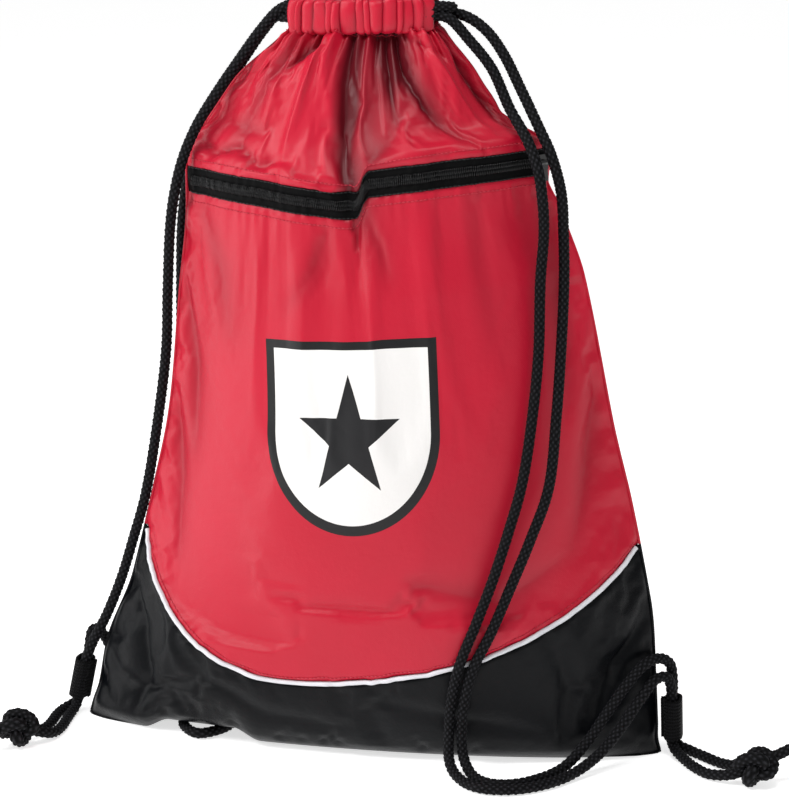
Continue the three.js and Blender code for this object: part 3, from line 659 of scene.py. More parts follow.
# Folds, each with its line as (across, level) points, the depth at its middle in millimetres, the
# widths of its two flanks, and how sharp it is: 1 is a crisp crease and 2 a soft valley.
FRONT_FOLDS = [
    ([(-0.06, 448), (-0.04, 425), (-0.03, 395), (-0.03, 372), (-0.01, 352)], 13.5, 25, 7.5, 1.6),
    ([(0.115, 440), (0.105, 420), (0.08, 392), (0.06, 360)], -5.0, 6, 18, 1.2),
    ([(0.35, 444), (0.42, 418), (0.49, 398), (0.56, 380)], 9.5, 12, 8, 1.25),
    ([(0.26, 446), (0.29, 420), (0.29, 394)], 8.0, 8, 6, 1.25),
    ([(-0.34, 446), (-0.42, 434), (-0.56, 422)], 7.5, 7, 9, 1.3),
    ([(-0.62, 440), (-0.66, 415), (-0.7, 388)], 3.2, 8, 9, 1.6),
    ([(-0.3, 436), (-0.34, 410), (-0.36, 376)], -4.6, 16, 8, 1.2),
    ([(0.64, 438), (0.72, 415), (0.76, 382)], -4.4, 9, 7, 1.2),
    ([(0.5, 438), (0.66, 431), (0.82, 425)], 3.6, 4, 6, 1.0),
    ([(0.97, 440), (0.93, 405), (0.9, 382)], 7.5, 11, 6, 1.3),
    ([(-0.97, 381), (-0.8, 376), (-0.66, 381), (-0.5, 374), (-0.34, 378)], 3.8, 4, 5, 1.0),
    ([(-0.85, 392), (-0.65, 389), (-0.48, 391)], 2.2, 5, 5, 1.3),
    ([(-0.35, 372), (-0.18, 366), (-0.1, 362)], -2.4, 5, 5, 1.4),
    ([(0.08, 372), (0.25, 384), (0.38, 400)], 2.2, 6, 6, 1.5),
    ([(0.05, 345), (0.12, 322), (0.15, 300)], 2.6, 7, 10, 1.4),
    ([(-0.12, 340), (-0.2, 315), (-0.32, 290)], 2.2, 10, 8, 1.6),
    ([(-0.85, 340), (-0.7, 310), (-0.62, 270)], 2.4, 12, 10, 1.7),
    ([(-0.97, 300), (-0.86, 245), (-0.8, 190)], 3.2, 12, 10, 1.5),
    ([(-0.98, 215), (-0.86, 170), (-0.78, 120)], 3.0, 12, 9, 1.4),
    ([(0.97, 330), (0.86, 280), (0.82, 220)], 3.4, 10, 14, 1.5),
    ([(0.98, 230), (0.85, 180), (0.74, 140)], 3.0, 12, 10, 1.5),
    ([(0.6, 340), (0.55, 300), (0.56, 250)], 1.8, 12, 12, 1.8),
    ([(0.2, 120), (0.45, 108), (0.7, 132)], 2.0, 10, 8, 1.5),
    ([(-0.98, 96), (-0.86, 70), (-0.78, 40), (-0.8, 16)], 4.2, 9, 8, 1.2),
    ([(-0.99, 48), (-0.9, 34), (-0.74, 30), (-0.6, 38)], 3.0, 6, 7, 1.2),
    ([(-0.9, 108), (-0.74, 78), (-0.62, 44)], -2.8, 9, 8, 1.3),
    ([(-0.55, 44), (-0.3, 26), (-0.05, 22)], 2.0, 8, 8, 1.5),
    ([(0.1, 40), (0.35, 30), (0.6, 24)], 2.2, 8, 8, 1.5),
    ([(0.98, 84), (0.86, 62), (0.8, 30)], 3.6, 9, 9, 1.3),
    ([(0.62, 80), (0.7, 50), (0.68, 20)], 2.2, 9, 9, 1.5),
]
BACK_FOLDS = [
    ([(0.1, 444), (0.08, 415), (0.05, 380), (0.04, 350)], 7.0, 12, 9, 1.5),
    ([(-0.3, 442), (-0.36, 410), (-0.46, 378)], 4.6, 8, 9, 1.4),
    ([(0.42, 442), (0.5, 410), (0.6, 380)], 5.0, 9, 8, 1.4),
    ([(-0.66, 440), (-0.74, 400), (-0.8, 350)], 3.6, 9, 10, 1.6),
    ([(0.8, 430), (0.84, 380), (0.82, 330)], 3.4, 9, 9, 1.6),
    ([(-0.97, 330), (-0.84, 260), (-0.78, 190)], 3.6, 12, 12, 1.6),
    ([(0.97, 310), (0.84, 240), (0.8, 170)], 3.6, 12, 12, 1.6),
    ([(-0.2, 330), (0.05, 300), (0.3, 312)], 2.2, 12, 12, 1.8),
    ([(-0.4, 220), (-0.1, 190), (0.2, 205)], 2.0, 14, 14, 1.9),
    ([(-0.98, 120), (-0.86, 80), (-0.8, 30)], 3.8, 10, 9, 1.4),
    ([(0.98, 120), (0.86, 80), (0.8, 30)], 3.8, 10, 9, 1.4),
    ([(-0.3, 60), (0.0, 40), (0.35, 52)], 2.2, 9, 9, 1.5),
]
PLEATS = 15
ACROSS = np.linspace(-1, 1, 161)
RISE = np.linspace(0, BODY_MM, 179)


def fold_depth(folds, across, level, arc):
    """How far the folds press the cloth in at each grid point, in millimetres."""
    total = np.zeros_like(across)
    for line, depth, left, right, sharp in folds:
        nearest = np.full_like(across, 1e9)
        pressed = np.zeros_like(across)
        run = np.cumsum([0] + [math.hypot((b[0] - a[0]) * 100, b[1] - a[1]) for a, b in zip(line, line[1:])])
        for k, (a, b) in enumerate(zip(line, line[1:])):
            ex, ey = (b[0] - a[0]) * arc, np.full_like(arc, b[1] - a[1])
            px, py = (across - a[0]) * arc, level - a[1]
            t = np.clip((px * ex + py * ey) / (ex**2 + ey**2), 0, 1)
            dx, dy = px - t * ex, py - t * ey
            away = np.hypot(dx, dy)
            turned = ex * dy - ey * dx
            width = np.full_like(arc, left)
            if abs(b[1] - a[1]) > 1:
                width = np.where(turned * np.sign(-ey) > 0, left, right)
            share = (run[k] + t * (run[k + 1] - run[k])) / run[-1]
            fade = np.sin(np.pi * np.clip(0.18 + 0.74 * share, 0, 1)) ** 0.7
            value = depth * fade * np.exp(-((away / width) ** sharp) * 1.6)
            closer = away < nearest
            nearest = np.where(closer, away, nearest)
            pressed = np.where(closer, value, pressed)
        total += pressed
    return total


def waves(across, level, seed, count, size):
    """Slow uneven waves of the cloth, in millimetres."""
    source = np.random.default_rng(seed)
    total = np.zeros_like(across)
    for _ in range(count):
        kx, ky = source.uniform(3, 11), source.uniform(0.012, 0.05)
        phase, tilt = source.uniform(0, 2 * math.pi), source.choice((-1, 1))
        total += np.sin(kx * across + tilt * ky * level + phase) * source.uniform(0.4, 1)
    return total * size / math.sqrt(count)


def zip_sag(across):
    """How far the zip hangs below its plain line, left of the slider."""
    return np.interp(
        across,
        [-1, -0.75, -0.5, -0.25, -0.08, 0.01, 0.03, 0.05, 0.075, 0.25, 0.5],
        [0, 2.0, 5.5, 10.5, 14.0, 15.0, 13.0, 6.5, 3.0, 1.0, 0],
    )


def draped(side, folds):
    """The folded cloth of one side: a grid of points in millimetres, and a grid of the depths of the folds
    over 8 mm, which sets how much painted shade the creases get.
    """
    across, level = np.meshgrid(ACROSS, RISE)
    arc = half_arc(level)
    points = skin(side, across, level)
    along, up = np.gradient(points, axis=1), np.gradient(points, axis=0)
    normal = unit(np.cross(along, up) * -side)
    depth = fold_depth(folds, across, level, arc)
    mouth = np.exp(-(BODY_MM - level) / 19)
    source = np.random.default_rng(11 - side)
    jitter = np.interp(across, np.linspace(-1, 1, 9), source.uniform(-0.05, 0.05, 9))
    share = ((across + jitter * 0.4) / CHANNEL_REACH + 1) / 2
    pleats = -np.cos(share * 2 * math.pi * PLEATS) * 2.6 * mouth
    fall = np.exp(-(BODY_MM - level) / 75)
    pleats += np.cos((across + jitter * 2) * math.pi * 6.5 + 0.6) * 2.0 * fall
    base = smooth(level / 25)
    edge = smooth((1 - np.abs(across)) / 0.07)
    seam_pull = np.exp(-((1 - np.abs(across)) * arc / 9) ** 2)
    pucker = np.sin(level / 4.4 + 2 * np.sin(level / 31)) * 0.9 * seam_pull * edge ** 0.2
    by_zip = np.exp(-(((level - ZIP_LEVEL_MM) / 14) ** 2))
    zone = 1 - 0.75 * by_zip * smooth((across - 0.55) / 0.2) * (side < 0)
    wave = waves(across, level, 5 + side, 9, 0.8)
    depth = depth * edge * zone
    tucked_in = 2.0 * smooth((level - 438) / 4)
    press = tucked_in + depth - pleats * edge - wave * base * edge * zone + pucker * zone
    press = press * smooth(level / 12)
    points = points - normal * press[..., None]
    shoulder = smooth((across - 0.7) / 0.3) * smooth((level - 364) / 14) * smooth((441 - level) / 45)
    points[..., 0] -= 8.0 * shoulder
    corner = smooth((np.abs(across) - 0.76) / 0.24) * smooth((level - 412) / 28)
    points[..., 0] -= np.sign(across) * 6.5 * corner
    near_zip_end = smooth((across - 0.945) / 0.055) * smooth((level - 325) / 25) * smooth((400 - level) / 25)
    points[..., 0] -= 6.5 * near_zip_end
    if side == FRONT:
        below = smooth(1 - (ZIP_LEVEL_MM - level - 10) / 95)
        above = smooth(1 - (level - ZIP_LEVEL_MM - 10) / 50)
        band = np.where(level < ZIP_LEVEL_MM, below, above)
        points[..., 2] -= zip_sag(across) * band
    # The second grid is painted shade: the depth of the folds, over 8 mm and never below 0, darkens the
    # crimson in the creases.
    return points, np.clip(depth, 0, None) / 8


def through_grid(grid, across, level):
    """Bicubic reading of a grid at shares across and levels."""
    u = np.clip((np.asarray(across, float) + 1) / 2 * (len(ACROSS) - 1), 0, len(ACROSS) - 1)
    v = np.clip(np.asarray(level, float) / BODY_MM * (len(RISE) - 1), 0, len(RISE) - 1)
    u, v = np.broadcast_arrays(u, v)
    i, j = np.minimum(u.astype(int), len(ACROSS) - 2), np.minimum(v.astype(int), len(RISE) - 2)

    def weights(t):
        return (
            (-0.5 * t + t**2 - 0.5 * t**3),
            (1 - 2.5 * t**2 + 1.5 * t**3),
            (0.5 * t + 2 * t**2 - 1.5 * t**3),
            (-0.5 * t**2 + 0.5 * t**3),
        )

    total = 0
    for a, wa in enumerate(weights(v - j)):
        row = np.clip(j + a - 1, 0, len(RISE) - 1)
        for b, wb in enumerate(weights(u - i)):
            column = np.clip(i + b - 1, 0, len(ACROSS) - 1)
            weight = wa * wb
            total = total + grid[row, column] * (weight[..., None] if grid.ndim == 3 else weight)
    return total


SEAM_LOW_MM, SEAM_HIGH_MM, SEAM_DIP = 50.0, 130.0, -0.25


def seam_height(across):
    reach = np.where(across < SEAM_DIP, 1 + SEAM_DIP, 1 - SEAM_DIP)
    return SEAM_LOW_MM + (SEAM_HIGH_MM - SEAM_LOW_MM) * ((across - SEAM_DIP) / reach) ** 2


DRAPE = {FRONT: draped(FRONT, FRONT_FOLDS), BACK: draped(BACK, BACK_FOLDS)}
SETTLE_FRAMES = 14
SLACK = 0.026  # how much more cloth there is than the plain shape needs
BULGE_MOST_MM = 1.2
MOVE_MOST_MM = 6.0


def held_share(side):
    """Where the cloth is held by its seams, the ground, the mouth, the zip and the piping: 1 is fast."""
    across, level = np.meshgrid(ACROSS[::2], RISE[::2])
    held = np.where((np.abs(across) > 0.985) | (level < 6) | (level > BODY_MM - 6), 1.0, 0.0)
    if side == FRONT:
        near_zip = np.abs(level - ZIP_LEVEL_MM) < 9
        held = np.where(near_zip, np.maximum(held, 0.6), held)
        held = np.where(near_zip & (across > 0.6), 1.0, held)
    seam = np.abs(level - seam_height(across)) < 3
    return np.where(seam, np.maximum(held, 0.5), held)


def settle():
    """Lets the panels bulge and wrinkle between their seams, and keeps what they move by."""
    coarse = {side: DRAPE[side][0][::2, ::2] for side in (FRONT, BACK)}
    rows, columns = coarse[FRONT].shape[:2]
    faces = []
    for k, side in enumerate((FRONT, BACK)):
        start = k * rows * columns
        for j in range(rows - 1):
            for i in range(columns - 1):
                a = start + j * columns + i
                face = (a, a + 1, a + columns + 1, a + columns)
                faces.append(face if side == FRONT else face[::-1])
    before = np.vstack([coarse[FRONT].reshape(-1, 3), coarse[BACK].reshape(-1, 3)]) * MM
    shell = from_faces("settling cloth", before, faces)
    group = shell.vertex_groups.new(name="held")
    held = np.concatenate([held_share(FRONT).ravel(), held_share(BACK).ravel()])
    for share in np.unique(held):
        group.add(np.flatnonzero(held == share).tolist(), float(share), "REPLACE")
    pick(shell)
    modifier = shell.modifiers.new("cloth", "CLOTH")
    settings = modifier.settings
    settings.quality = 6
    settings.mass = 0.12
    settings.tension_stiffness = 18
    settings.compression_stiffness = 18
    settings.shear_stiffness = 6
    settings.bending_stiffness = 0.06
    settings.air_damping = 2
    settings.shrink_min = -SLACK
    settings.use_pressure = True
    settings.uniform_pressure_force = 1.2
    settings.vertex_group_mass = "held"
    settings.effector_weights.gravity = 0.25
    modifier.collision_settings.use_collision = False
    modifier.point_cache.frame_start = 1
    modifier.point_cache.frame_end = SETTLE_FRAMES
    scene = bpy.context.scene
    for number in range(1, SETTLE_FRAMES + 1):
        scene.frame_set(number)
    bpy.ops.object.modifier_apply(modifier="cloth")
    flat = np.zeros(len(before) * 3)
    shell.data.vertices.foreach_get("co", flat)
    scene.frame_set(1)
    bpy.data.objects.remove(shell)
    moved = (flat.reshape(-1, 3) - before) / MM
    for k, side in enumerate((FRONT, BACK)):
        part = moved[k * rows * columns : (k + 1) * rows * columns].reshape(rows, columns, 3)
        # The second grid, the painted crease shade, is kept as it was.
        points, folds = DRAPE[side]
        along, up = np.gradient(coarse[side], axis=1), np.gradient(coarse[side], axis=0)
        normal = unit(np.cross(along, up) * -side)
        out = (part * normal).sum(-1, keepdims=True)
        bulge = BULGE_MOST_MM * np.tanh(out / BULGE_MOST_MM)
        dip = MOVE_MOST_MM * np.tanh(out / MOVE_MOST_MM)
        part = part - normal * out + normal * np.where(out > 0, bulge, dip)
        far = np.linalg.norm(part, axis=-1, keepdims=True)
        part *= (MOVE_MOST_MM * np.tanh(far / MOVE_MOST_MM)) / np.maximum(far, 1e-9)
        full = np.empty_like(points)
        for axis in range(3):
            wide = np.array([np.interp(ACROSS, ACROSS[::2], row) for row in part[..., axis]])
            full[..., axis] = np.array([np.interp(RISE, RISE[::2], column) for column in wide.T]).T
        DRAPE[side] = (points + full, folds)


settle()


def drape(side, across, level, out=0.0):
    """A point of the folded cloth, `out` millimetres off its outer face."""
    across, level = np.broadcast_arrays(np.asarray(across, float), np.asarray(level, float))
    point = through_grid(DRAPE[side][0], across, level)
    if np.any(np.asarray(out) != 0):
        step = 0.008
        grid = DRAPE[side][0]
        along = through_grid(grid, across + step, level) - through_grid(grid, across - step, level)
        up = through_grid(grid, across, level + 1) - through_grid(grid, across, level - 1)
        normal = unit(np.cross(along, up) * -side)
        point = point + normal * np.broadcast_to(out, across.shape)[..., None]
    return point


# How much painted shade the cloth gets in its creases here, 0 to 1.
def painted_crease_shade_share(side, across, level):
    return np.clip(through_grid(DRAPE[side][1], across, level), 0, 1)


# ---- Cloth pieces ----


def cloth(name, columns, rows, place, thick_mm, offset):
    """A grid of cloth. place(u, v) gives points in mm, uv in metres and shares of painted crease shade, for
    shares 0 to 1.
    """
    bpy.ops.mesh.primitive_grid_add(x_subdivisions=columns, y_subdivisions=rows, size=1)
    piece = bpy.context.object
    piece.name = name
    mesh = piece.data
    flat = np.zeros(len(mesh.vertices) * 3)
    mesh.vertices.foreach_get("co", flat)
    u, v = flat.reshape(-1, 3)[:, 0] + 0.5, flat.reshape(-1, 3)[:, 1] + 0.5
    points, uvs, folds = place(u, v)
    mesh.vertices.foreach_set("co", (points * MM).ravel())
    corner = np.zeros(len(mesh.loops), np.int32)
    mesh.loops.foreach_get("vertex_index", corner)
    mesh.uv_layers.active.data.foreach_set("uv", (uvs[corner] * MM).astype(np.float32).ravel())
    # The shares of painted crease shade go on a point attribute that the crimson cloth darkens by.
    layer = mesh.attributes.new("painted_crease_shade", "FLOAT", "POINT")
    layer.data.foreach_set("value", np.broadcast_to(folds, u.shape).astype(np.float32))
    mesh.update()
    modify(piece, "SOLIDIFY", thickness=thick_mm * MM, offset=offset, use_even_offset=False)
    smooth_shaded(piece)
    return piece


def panel(name, side, low, high, columns, rows, thick=0.7, out=0.0, reach=1.0, tuck=0.0):
    """A panel of the folded cloth between two heights; its edges turn in by `tuck` at the seams."""

    def place(u, v):
        across = (2 * u - 1) * reach
        level = low(across) + (high(across) - low(across)) * v
        near = np.minimum(v * (high(across) - low(across)), (1 - v) * (high(across) - low(across)))
        depth = tuck * np.exp(-((near / 1.6) ** 2))
        points = drape(side, across, level, out - depth)
        uvs = np.stack([across * half_arc(level), level], -1)
        return points, uvs, painted_crease_shade_share(side, across, level)

    return cloth(name, columns, rows, place, thick, -1 if side == FRONT else 1)


def level_at(value):
    return lambda across: np.full_like(across, value)


PANEL_TO_ZIP_MM = 6.6  # from the zip's line to the edge of the cloth
HIDDEN_TOP_MM = BODY_MM + 0.5

finished(
    panel(
        "front upper cloth",
        FRONT,
        level_at(ZIP_LEVEL_MM + PANEL_TO_ZIP_MM),
        level_at(HIDDEN_TOP_MM),
        200,
        90,
        tuck=1.0,
    ),
    crimson,
    replaces=["front_upper_panel"],
)
finished(
    panel(
        "front pocket cloth",
        FRONT,
        lambda across: seam_height(across) + 0.8,
        level_at(ZIP_LEVEL_MM - PANEL_TO_ZIP_MM),
        200,
        170,
        tuck=1.2,
    ),
    crimson_printed,
    replaces=["front_pocket_panel"],
)
finished(
    panel(
        "back cloth",
        BACK,
        lambda across: seam_height(across) + 0.2,
        level_at(HIDDEN_TOP_MM),
        180,
        190,
        tuck=0.9,
    ),
    crimson,
    replaces=["back_panel"],
)


def lower_panel(name, side, replaced):
    """The wall below the curved seam, and the flat folded under it to the bottom seam."""
    floor = 0.3

    def place(u, v):
        across = 2 * u - 1
        wall = np.clip((v - floor) / (1 - floor), 0, 1)
        under = np.clip(v / floor, 0, 1)
        level = wall * (seam_height(across) - (0.8 if side == FRONT else 0.2))
        points = drape(side, across, level, -1.2 * np.exp(-((1 - wall) * 70 / 1.6) ** 2))
        is_floor = v < floor
        points[:, 1] = np.where(is_floor, points[:, 1] * under, points[:, 1])
        points[:, 2] = np.where(is_floor, points[:, 2] + 0.9 * (1 - under), points[:, 2])
        round_off = 1.6 * np.exp(-((v - floor) / 0.02) ** 2)
        points[:, 1] -= side * np.minimum(round_off, np.abs(points[:, 1]))
        uvs = np.stack([across * half_arc(level), np.where(is_floor, (under - 1) * 40, level)], -1)
        return points, uvs, painted_crease_shade_share(side, across, level)

    piece = cloth(name, 190, 90, place, 0.7, -1 if side == FRONT else 1)
    return finished(piece, black_satin, replaces=[replaced])


lower_panel("front lower cloth", FRONT, "front_lower_panel")
lower_panel("back lower cloth", BACK, "back_lower_panel")


LINING_LOW_MM, LINING_HIGH_MM = 24.0, 348.0
LINING_REACH = 0.8  # share of the front's arc that the lining covers
LINING_BACK_MM = 11.0  # from the bag's front to the lining


def lining_place(u, v):
    across = (2 * u - 1) * LINING_REACH
    level = LINING_LOW_MM + (LINING_HIGH_MM - LINING_LOW_MM) * v
    points = skin(FRONT, across, level)
    points[:, 1] += LINING_BACK_MM + waves(across, level, 3, 7, 0.9)
    return points, np.stack([across * half_arc(level), level], -1), 0.0


lining = cloth("lining cloth", 90, 110, lining_place, 0.8, 0)
finished(lining, grey_lining, replaces=["pocket_lining"])

# ---- Seams ----


def on_seam(side, across, level, out, step_mm):
    return evenly(drape(side, across, level, out), step_mm) * MM


steps = np.linspace(-0.985, 0.985, 240)
piping = tube("piping cord", on_seam(FRONT, steps, seam_height(steps), 0.1, 1.0), 3.0 * MM, 16)
finished(piping, white_piping, replaces=["piping"])

for name, share in (("left side seam", -1), ("right side seam", 1)):
    red = np.linspace(SEAM_HIGH_MM, BODY_MM, 150)
    path = (drape(FRONT, share, red) + drape(BACK, share, red)) / 2
    finished(tube(name, evenly(path, 1.6) * MM, 1.7 * MM, 10), crimson)
    black = np.linspace(1.5, SEAM_HIGH_MM, 60)
    path = (drape(FRONT, share, black) + drape(BACK, share, black)) / 2
    finished(tube(name + " below", evenly(path, 1.6) * MM, 1.7 * MM, 10), black_satin)

bottom = np.linspace(-0.995, 0.995, 120)
bottom_edge = drape(FRONT, bottom, bottom * 0)
bottom_path = np.stack([bottom_edge[:, 0], bottom * 0, bottom_edge[:, 2] + 1.4], -1)
finished(tube("bottom seam", evenly(bottom_path, 2.0) * MM, 1.6 * MM, 8), black_satin)

back_steps = np.linspace(-0.99, 0.99, 200)
back_path = on_seam(BACK, back_steps, seam_height(back_steps), -0.2, 1.5)
finished(tube("back curved seam", back_path, 1.2 * MM, 8), black_satin)


# ---- Stitches and zip ----


def repeated(name, unit_piece, places):
    """Copies of a small piece at each (origin, along, out) in metres, joined in one mesh."""
    mesh = unit_piece.data
    flat = np.zeros(len(mesh.vertices) * 3)
    mesh.vertices.foreach_get("co", flat)
    local = flat.reshape(-1, 3)
    shapes = [list(face.vertices) for face in mesh.polygons]
    points, faces = [], []
    for k, (origin, along, out) in enumerate(places):
        side = np.cross(out, along)
        points.append(origin + local[:, :1] * along + local[:, 1:2] * side + local[:, 2:] * out)
        faces.extend([[v + k * len(local) for v in face] for face in shapes])
    bpy.data.objects.remove(unit_piece)
    piece = from_faces(name, np.vstack(points), faces)
    smooth_shaded(piece)
    return piece


def placed_along(path, normals, pitch):
    """Even places on a path, each with its direction and the way out."""
    run = np.r_[0, np.cumsum(np.linalg.norm(np.diff(path, axis=0), axis=1))]
    at = np.arange(pitch / 2, run[-1], pitch)

    def read(values):
        return np.stack([np.interp(at, run, values[:, k]) for k in range(3)], 1)

    origins, outs = read(path), unit(read(normals))
    along = unit(read(np.gradient(path, axis=0)))
    outs = unit(outs - along * (along * outs).sum(-1, keepdims=True))
    return list(zip(origins, along, outs))


def row_on(side, across, level, out, pitch_mm):
    path = drape(side, across, level, out) * MM
    normals = unit(drape(side, across, level, out + 1.0) - drape(side, across, level, out))
    return placed_along(path, normals, pitch_mm * MM)


STITCH_MM = 2.6


def thread_unit():
    bpy.ops.mesh.primitive_cylinder_add(
        vertices=6, radius=0.32 * MM, depth=STITCH_MM * 0.78 * MM, rotation=(0, math.pi / 2, 0)
    )
    piece = bpy.context.object
    bpy.ops.object.transform_apply(location=False, rotation=True, scale=False)
    return piece


def stitches(name, rows, material):
    places = [place for row in rows for place in row]
    finished(repeated(name, thread_unit(), places), material)


full = np.linspace(-0.97, 0.97, 260)
flat_level = full * 0 + ZIP_LEVEL_MM
stitches(
    "red topstitching",
    [
        row_on(FRONT, full, flat_level + 12.6, 0.15, STITCH_MM),
        row_on(FRONT, full, flat_level - 12.8, 0.15, STITCH_MM),
        row_on(FRONT, full, seam_height(full) + 4.6, 0.15, STITCH_MM),
        row_on(BACK, full, seam_height(full) + 3.4, 0.15, STITCH_MM),
        row_on(FRONT, full, full * 0 + BODY_MM - 2.0, 0.15, STITCH_MM),
        row_on(BACK, full, full * 0 + BODY_MM - 2.0, 0.15, STITCH_MM),
    ],
    red_thread,
)
stitches(
    "tape stitching",
    [
        row_on(FRONT, full, flat_level + 7.4, 0.2, STITCH_MM),
        row_on(FRONT, full, flat_level - 7.4, 0.2, STITCH_MM),
    ],
    black_thread,
)

for half, sign in (("lower", -1), ("upper", 1)):
    near, far = 0.1, ZIP_BAND_MM / 2 + 0.6
    edges = sorted((ZIP_LEVEL_MM + sign * near, ZIP_LEVEL_MM + sign * far))
    tape = panel(f"{half} tape", FRONT, level_at(edges[0]), level_at(edges[1]), 240, 12, thick=0.6, out=-0.5)
    finished(tape, black_tape, replaces=[f"zip_tape_{half}"])


def coil_unit():
    """One turn of the coil: a flattened loop that leans over towards the other tape."""
    bpy.ops.mesh.primitive_torus_add(
        major_segments=10,
        minor_segments=5,
        major_radius=1.45 * MM,
        minor_radius=0.4 * MM,
        rotation=(0, math.pi / 2, 0),
    )
    bpy.ops.object.transform_apply(location=False, rotation=True, scale=False)
    piece = bpy.context.object
    bpy.ops.object.mode_set(mode="EDIT")
    bpy.ops.mesh.select_all(action="SELECT")
    bpy.ops.transform.resize(value=(1.0, 1.15, 0.62), center_override=(0, 0, 0))
    bpy.ops.transform.rotate(value=0.16, orient_axis="Z", center_override=(0, 0, 0))
    bpy.ops.object.mode_set(mode="OBJECT")
    return piece


COIL_PITCH_MM = 1.15
COIL_MIDDLE_MM = 1.25  # from the zip's line to the middle of each coil
chain = np.linspace(-ZIP_END, ZIP_END, 300)
for half, sign in (("lower", -1), ("upper", 1)):
    level = chain * 0 + ZIP_LEVEL_MM + sign * COIL_MIDDLE_MM
    places = row_on(FRONT, chain, level, -0.1, COIL_PITCH_MM)
    shift = 0.5 if sign > 0 else 0.0
    moved = [
        (origin + along * shift * COIL_PITCH_MM * MM, along, out) for origin, along, out in places[:-1]
    ]
    coil = repeated(f"{half} coil", coil_unit(), moved)
    finished(coil, coil_nylon, replaces=[f"zip_coil_{half}"])

for name in ("zip_slider", "zip_pull", "zip_stop_left", "zip_stop_right"):
    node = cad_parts[name]
    node.data.materials.clear()
    node.data.materials.append(enamel)

# ---- Drawstring channel ----


def squared(value, firm):
    """A sine or cosine with its curve made squarer."""
    return np.tanh(firm * value) / math.tanh(firm)


def channel(name, side, seed, replaced):
    """A gathered sleeve: puffs of cloth between the gathers, over a tunnel that is open at both ends."""
    source = np.random.default_rng(seed)
    puffs = 15
    bounds = np.linspace(0, 1, puffs + 1)
    bounds[1:-1] += source.uniform(-0.024, 0.024, puffs - 1)
    tall = source.uniform(-1.9, 0.9, puffs)
    fat = source.uniform(0.3, 1.5, puffs)
    sway = source.uniform(-0.012, 0.012, puffs + 2)
    around, along = 40, 300

    def place(u, v):
        swayed = np.interp(v, np.linspace(0, 1, puffs + 2), sway) * np.sin(2 * math.pi * u)
        bent = v + swayed * smooth(v / 0.05) * smooth((1 - v) / 0.05)
        k = np.clip(np.searchsorted(bounds, bent, side="right") - 1, 0, puffs - 1)
        t = (bent - bounds[k]) / (bounds[k + 1] - bounds[k])
        swell = np.sin(math.pi * np.clip(t, 0, 1)) ** 0.55
        across = side * (2 * v - 1) * CHANNEL_REACH
        turn = 2 * math.pi * u + math.pi
        c, s = np.cos(turn), np.sin(turn)
        out = squared(c, 1.2) * (CHANNEL_DEPTH_MM / 2 - 1.6 + 2.4 * swell * fat[k])
        rise = np.where(s > 0, tall[k] * swell, 2.6)
        up = squared(s, 1.4) * (CHANNEL_MM / 2 - 2.2 + 1.7 * swell + rise)
        wrinkle = np.sin(turn * 2 + k * 1.7) * 0.45 * swell + 0.25 * np.sin(turn * 5 + k)
        out = out + wrinkle - CHANNEL_DEPTH_MM / 2
        level = np.full_like(across, BODY_MM)
        base = skin(side, across, level)
        half_depth, radius, shift = section(level)[:3]
        middle = np.stack([shift + 0 * across, side * (half_depth - radius) * 0.25, base[:, 2]], -1)
        outward = base - middle
        outward[:, 2] = 0
        outward = unit(outward)
        points = base + outward * out[:, None]
        points[:, 1] = np.where(side * points[:, 1] < 0.5, side * 0.5, points[:, 1])
        points[:, 2] += CHANNEL_MM / 2 - 1.7 + up
        uvs = np.stack([across * half_arc(level), turn * 6], -1)
        # The third value is painted shade: darkest in the gathers between the puffs, none at the top of a
        # full puff.
        return points, uvs, np.clip(1 - swell * 1.3, 0, 1) * 0.8

    piece = cloth(name, around, along, place, 0.6, -1 if side == BACK else 1)
    return finished(piece, crimson, replaces=[replaced])


channel("front sleeve", FRONT, 21, "channel_front")
channel("back sleeve", BACK, 22, "channel_back")

# ---- Webbing tabs ----
TAB_LEAN = {"left": 12.0, "right": 2.0}  # degrees
TAB_RAISED_MM = 10.0  # from the corner to the webbing's lower edge


def webbing_tab(name, side):
    """A folded loop of webbing, sewn into the corner, on a closed outline seen from above."""
    corner = skin(FRONT, side, 0.0)
    reach, wide, ply, high = 12.6, 8.25, 1.4, 25.0
    profile = [(0.6, 0.85), (2.4, 1.3), (4.0, wide - 1.6), (6.4, wide)]
    profile += [(reach - 3.2, wide), (reach - 0.8, wide - 1.6), (reach, wide - 4)]
    profile += [(x, -y) for x, y in reversed(profile)]
    line = evenly(np.array([(x, y, 0.0) for x, y in profile]), 0.7)
    lean = math.radians(TAB_LEAN[name]) * side

    def place(u, v):
        run = np.linspace(0, 1, len(line))
        x = np.interp(u, run, line[:, 0]) * side
        y = np.interp(u, run, line[:, 1])
        z = (v - 0.5) * high + high / 2 + 0.25 * np.sin(u * 22 + v * 2)
        turned_x = x * math.cos(lean) - z * math.sin(lean)
        turned_z = x * math.sin(lean) + z * math.cos(lean)
        points = np.stack([corner[0] + turned_x, y, corner[2] + TAB_RAISED_MM + turned_z], -1)
        uvs = np.stack([u * 52, v * high], -1)
        return points, uvs, 0.0

    piece = cloth(f"{name} webbing tab", 90, 36, place, ply, 0)
    return finished(piece, webbing, replaces=[f"corner_tab_{name}"])


webbing_tab("left", -1)
webbing_tab("right", 1)

# ---- Cords inside the channel ----
RUN_CORD_MM = 5.6  # a cord is pressed thinner by the gathers


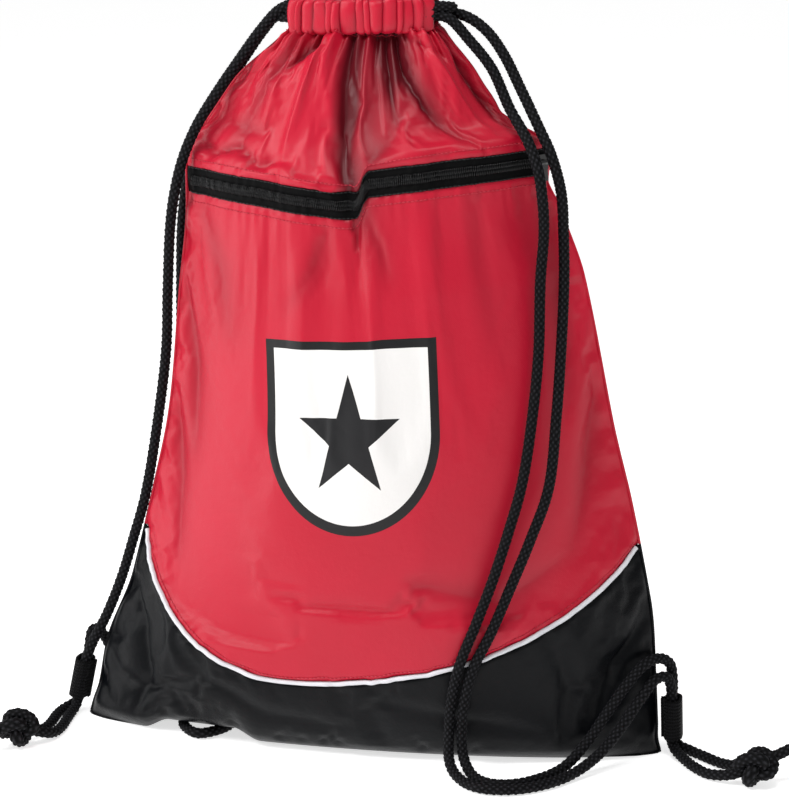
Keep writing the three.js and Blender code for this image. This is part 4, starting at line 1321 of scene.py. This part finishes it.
def channel_run(name, exit_side, level, replaced):
    """A cord through one sleeve, round the far end of the mouth and back through the other."""

    def along(side, sign):
        across = np.linspace(-1, 1, 9) * CHANNEL_REACH * sign
        points = skin(side, across, np.full_like(across, BODY_MM))
        points[:, 1] *= 0.72
        points[:, 2] += level - BODY_MM
        return points

    out, back = along(FRONT, -exit_side), along(BACK, exit_side)
    turn = (out[-1] + back[0]) / 2 - np.array([exit_side * 9.0, 0, 0])
    path = curve_through(np.vstack([out, turn[None], back]), CORD_STEP_MM)
    piece = tube(name, path, RUN_CORD_MM * MM, CORD_SIDES, braided)
    finished(piece, braid, replaces=[replaced])


channel_run("right braid in channel", 1, 448.6, "right_cord_in_channel")
channel_run("left braid in channel", -1, 453.2, "left_cord_in_channel")

# ---- Floor and light ----
bpy.ops.mesh.primitive_plane_add(size=24, location=(0, 0, -0.0002))
floor = bpy.context.object
floor.name = "floor"
floor_nodes = Nodes("pale floor", Roughness=0.9, Specular_IOR_Level=0.1, Emission_Strength=0.66)
floor_nodes.surface.inputs["Emission Color"].default_value = (1, 1, 1, 1)
floor_nodes.colour(floor_nodes.mix(floor_nodes.noise(3.0), (0.86, 0.86, 0.86, 1), (0.88, 0.88, 0.88, 1)))
floor.data.materials.append(floor_nodes.material)

world = bpy.data.worlds.new("studio")
bpy.context.scene.world = world
world.use_nodes = True
world.node_tree.nodes["Background"].inputs["Color"].default_value = (1, 1, 1, 1)
world.node_tree.nodes["Background"].inputs["Strength"].default_value = 0.36


def softbox(name, place, aim, size, power):
    place, aim = Vector(place), Vector(aim)
    facing = (place - aim).to_track_quat("Z", "Y").to_euler()
    bpy.ops.object.light_add(type="AREA", location=place, rotation=facing)
    light = bpy.context.object
    light.name = name
    light.data.shape = "RECTANGLE"
    light.data.size, light.data.size_y = size
    light.data.energy = power


softbox("key", (-1.3, -1.1, 1.6), (0, 0, 0.25), (0.6, 0.6), 24)
softbox("strip", (-1.9, -0.5, 0.6), (0, 0, 0.22), (0.3, 1.4), 13)
softbox("top", (0.3, -0.5, 1.6), (0, 0, 0.2), (0.6, 0.5), 9)
bpy.context.scene.view_settings.view_transform = "Standard"
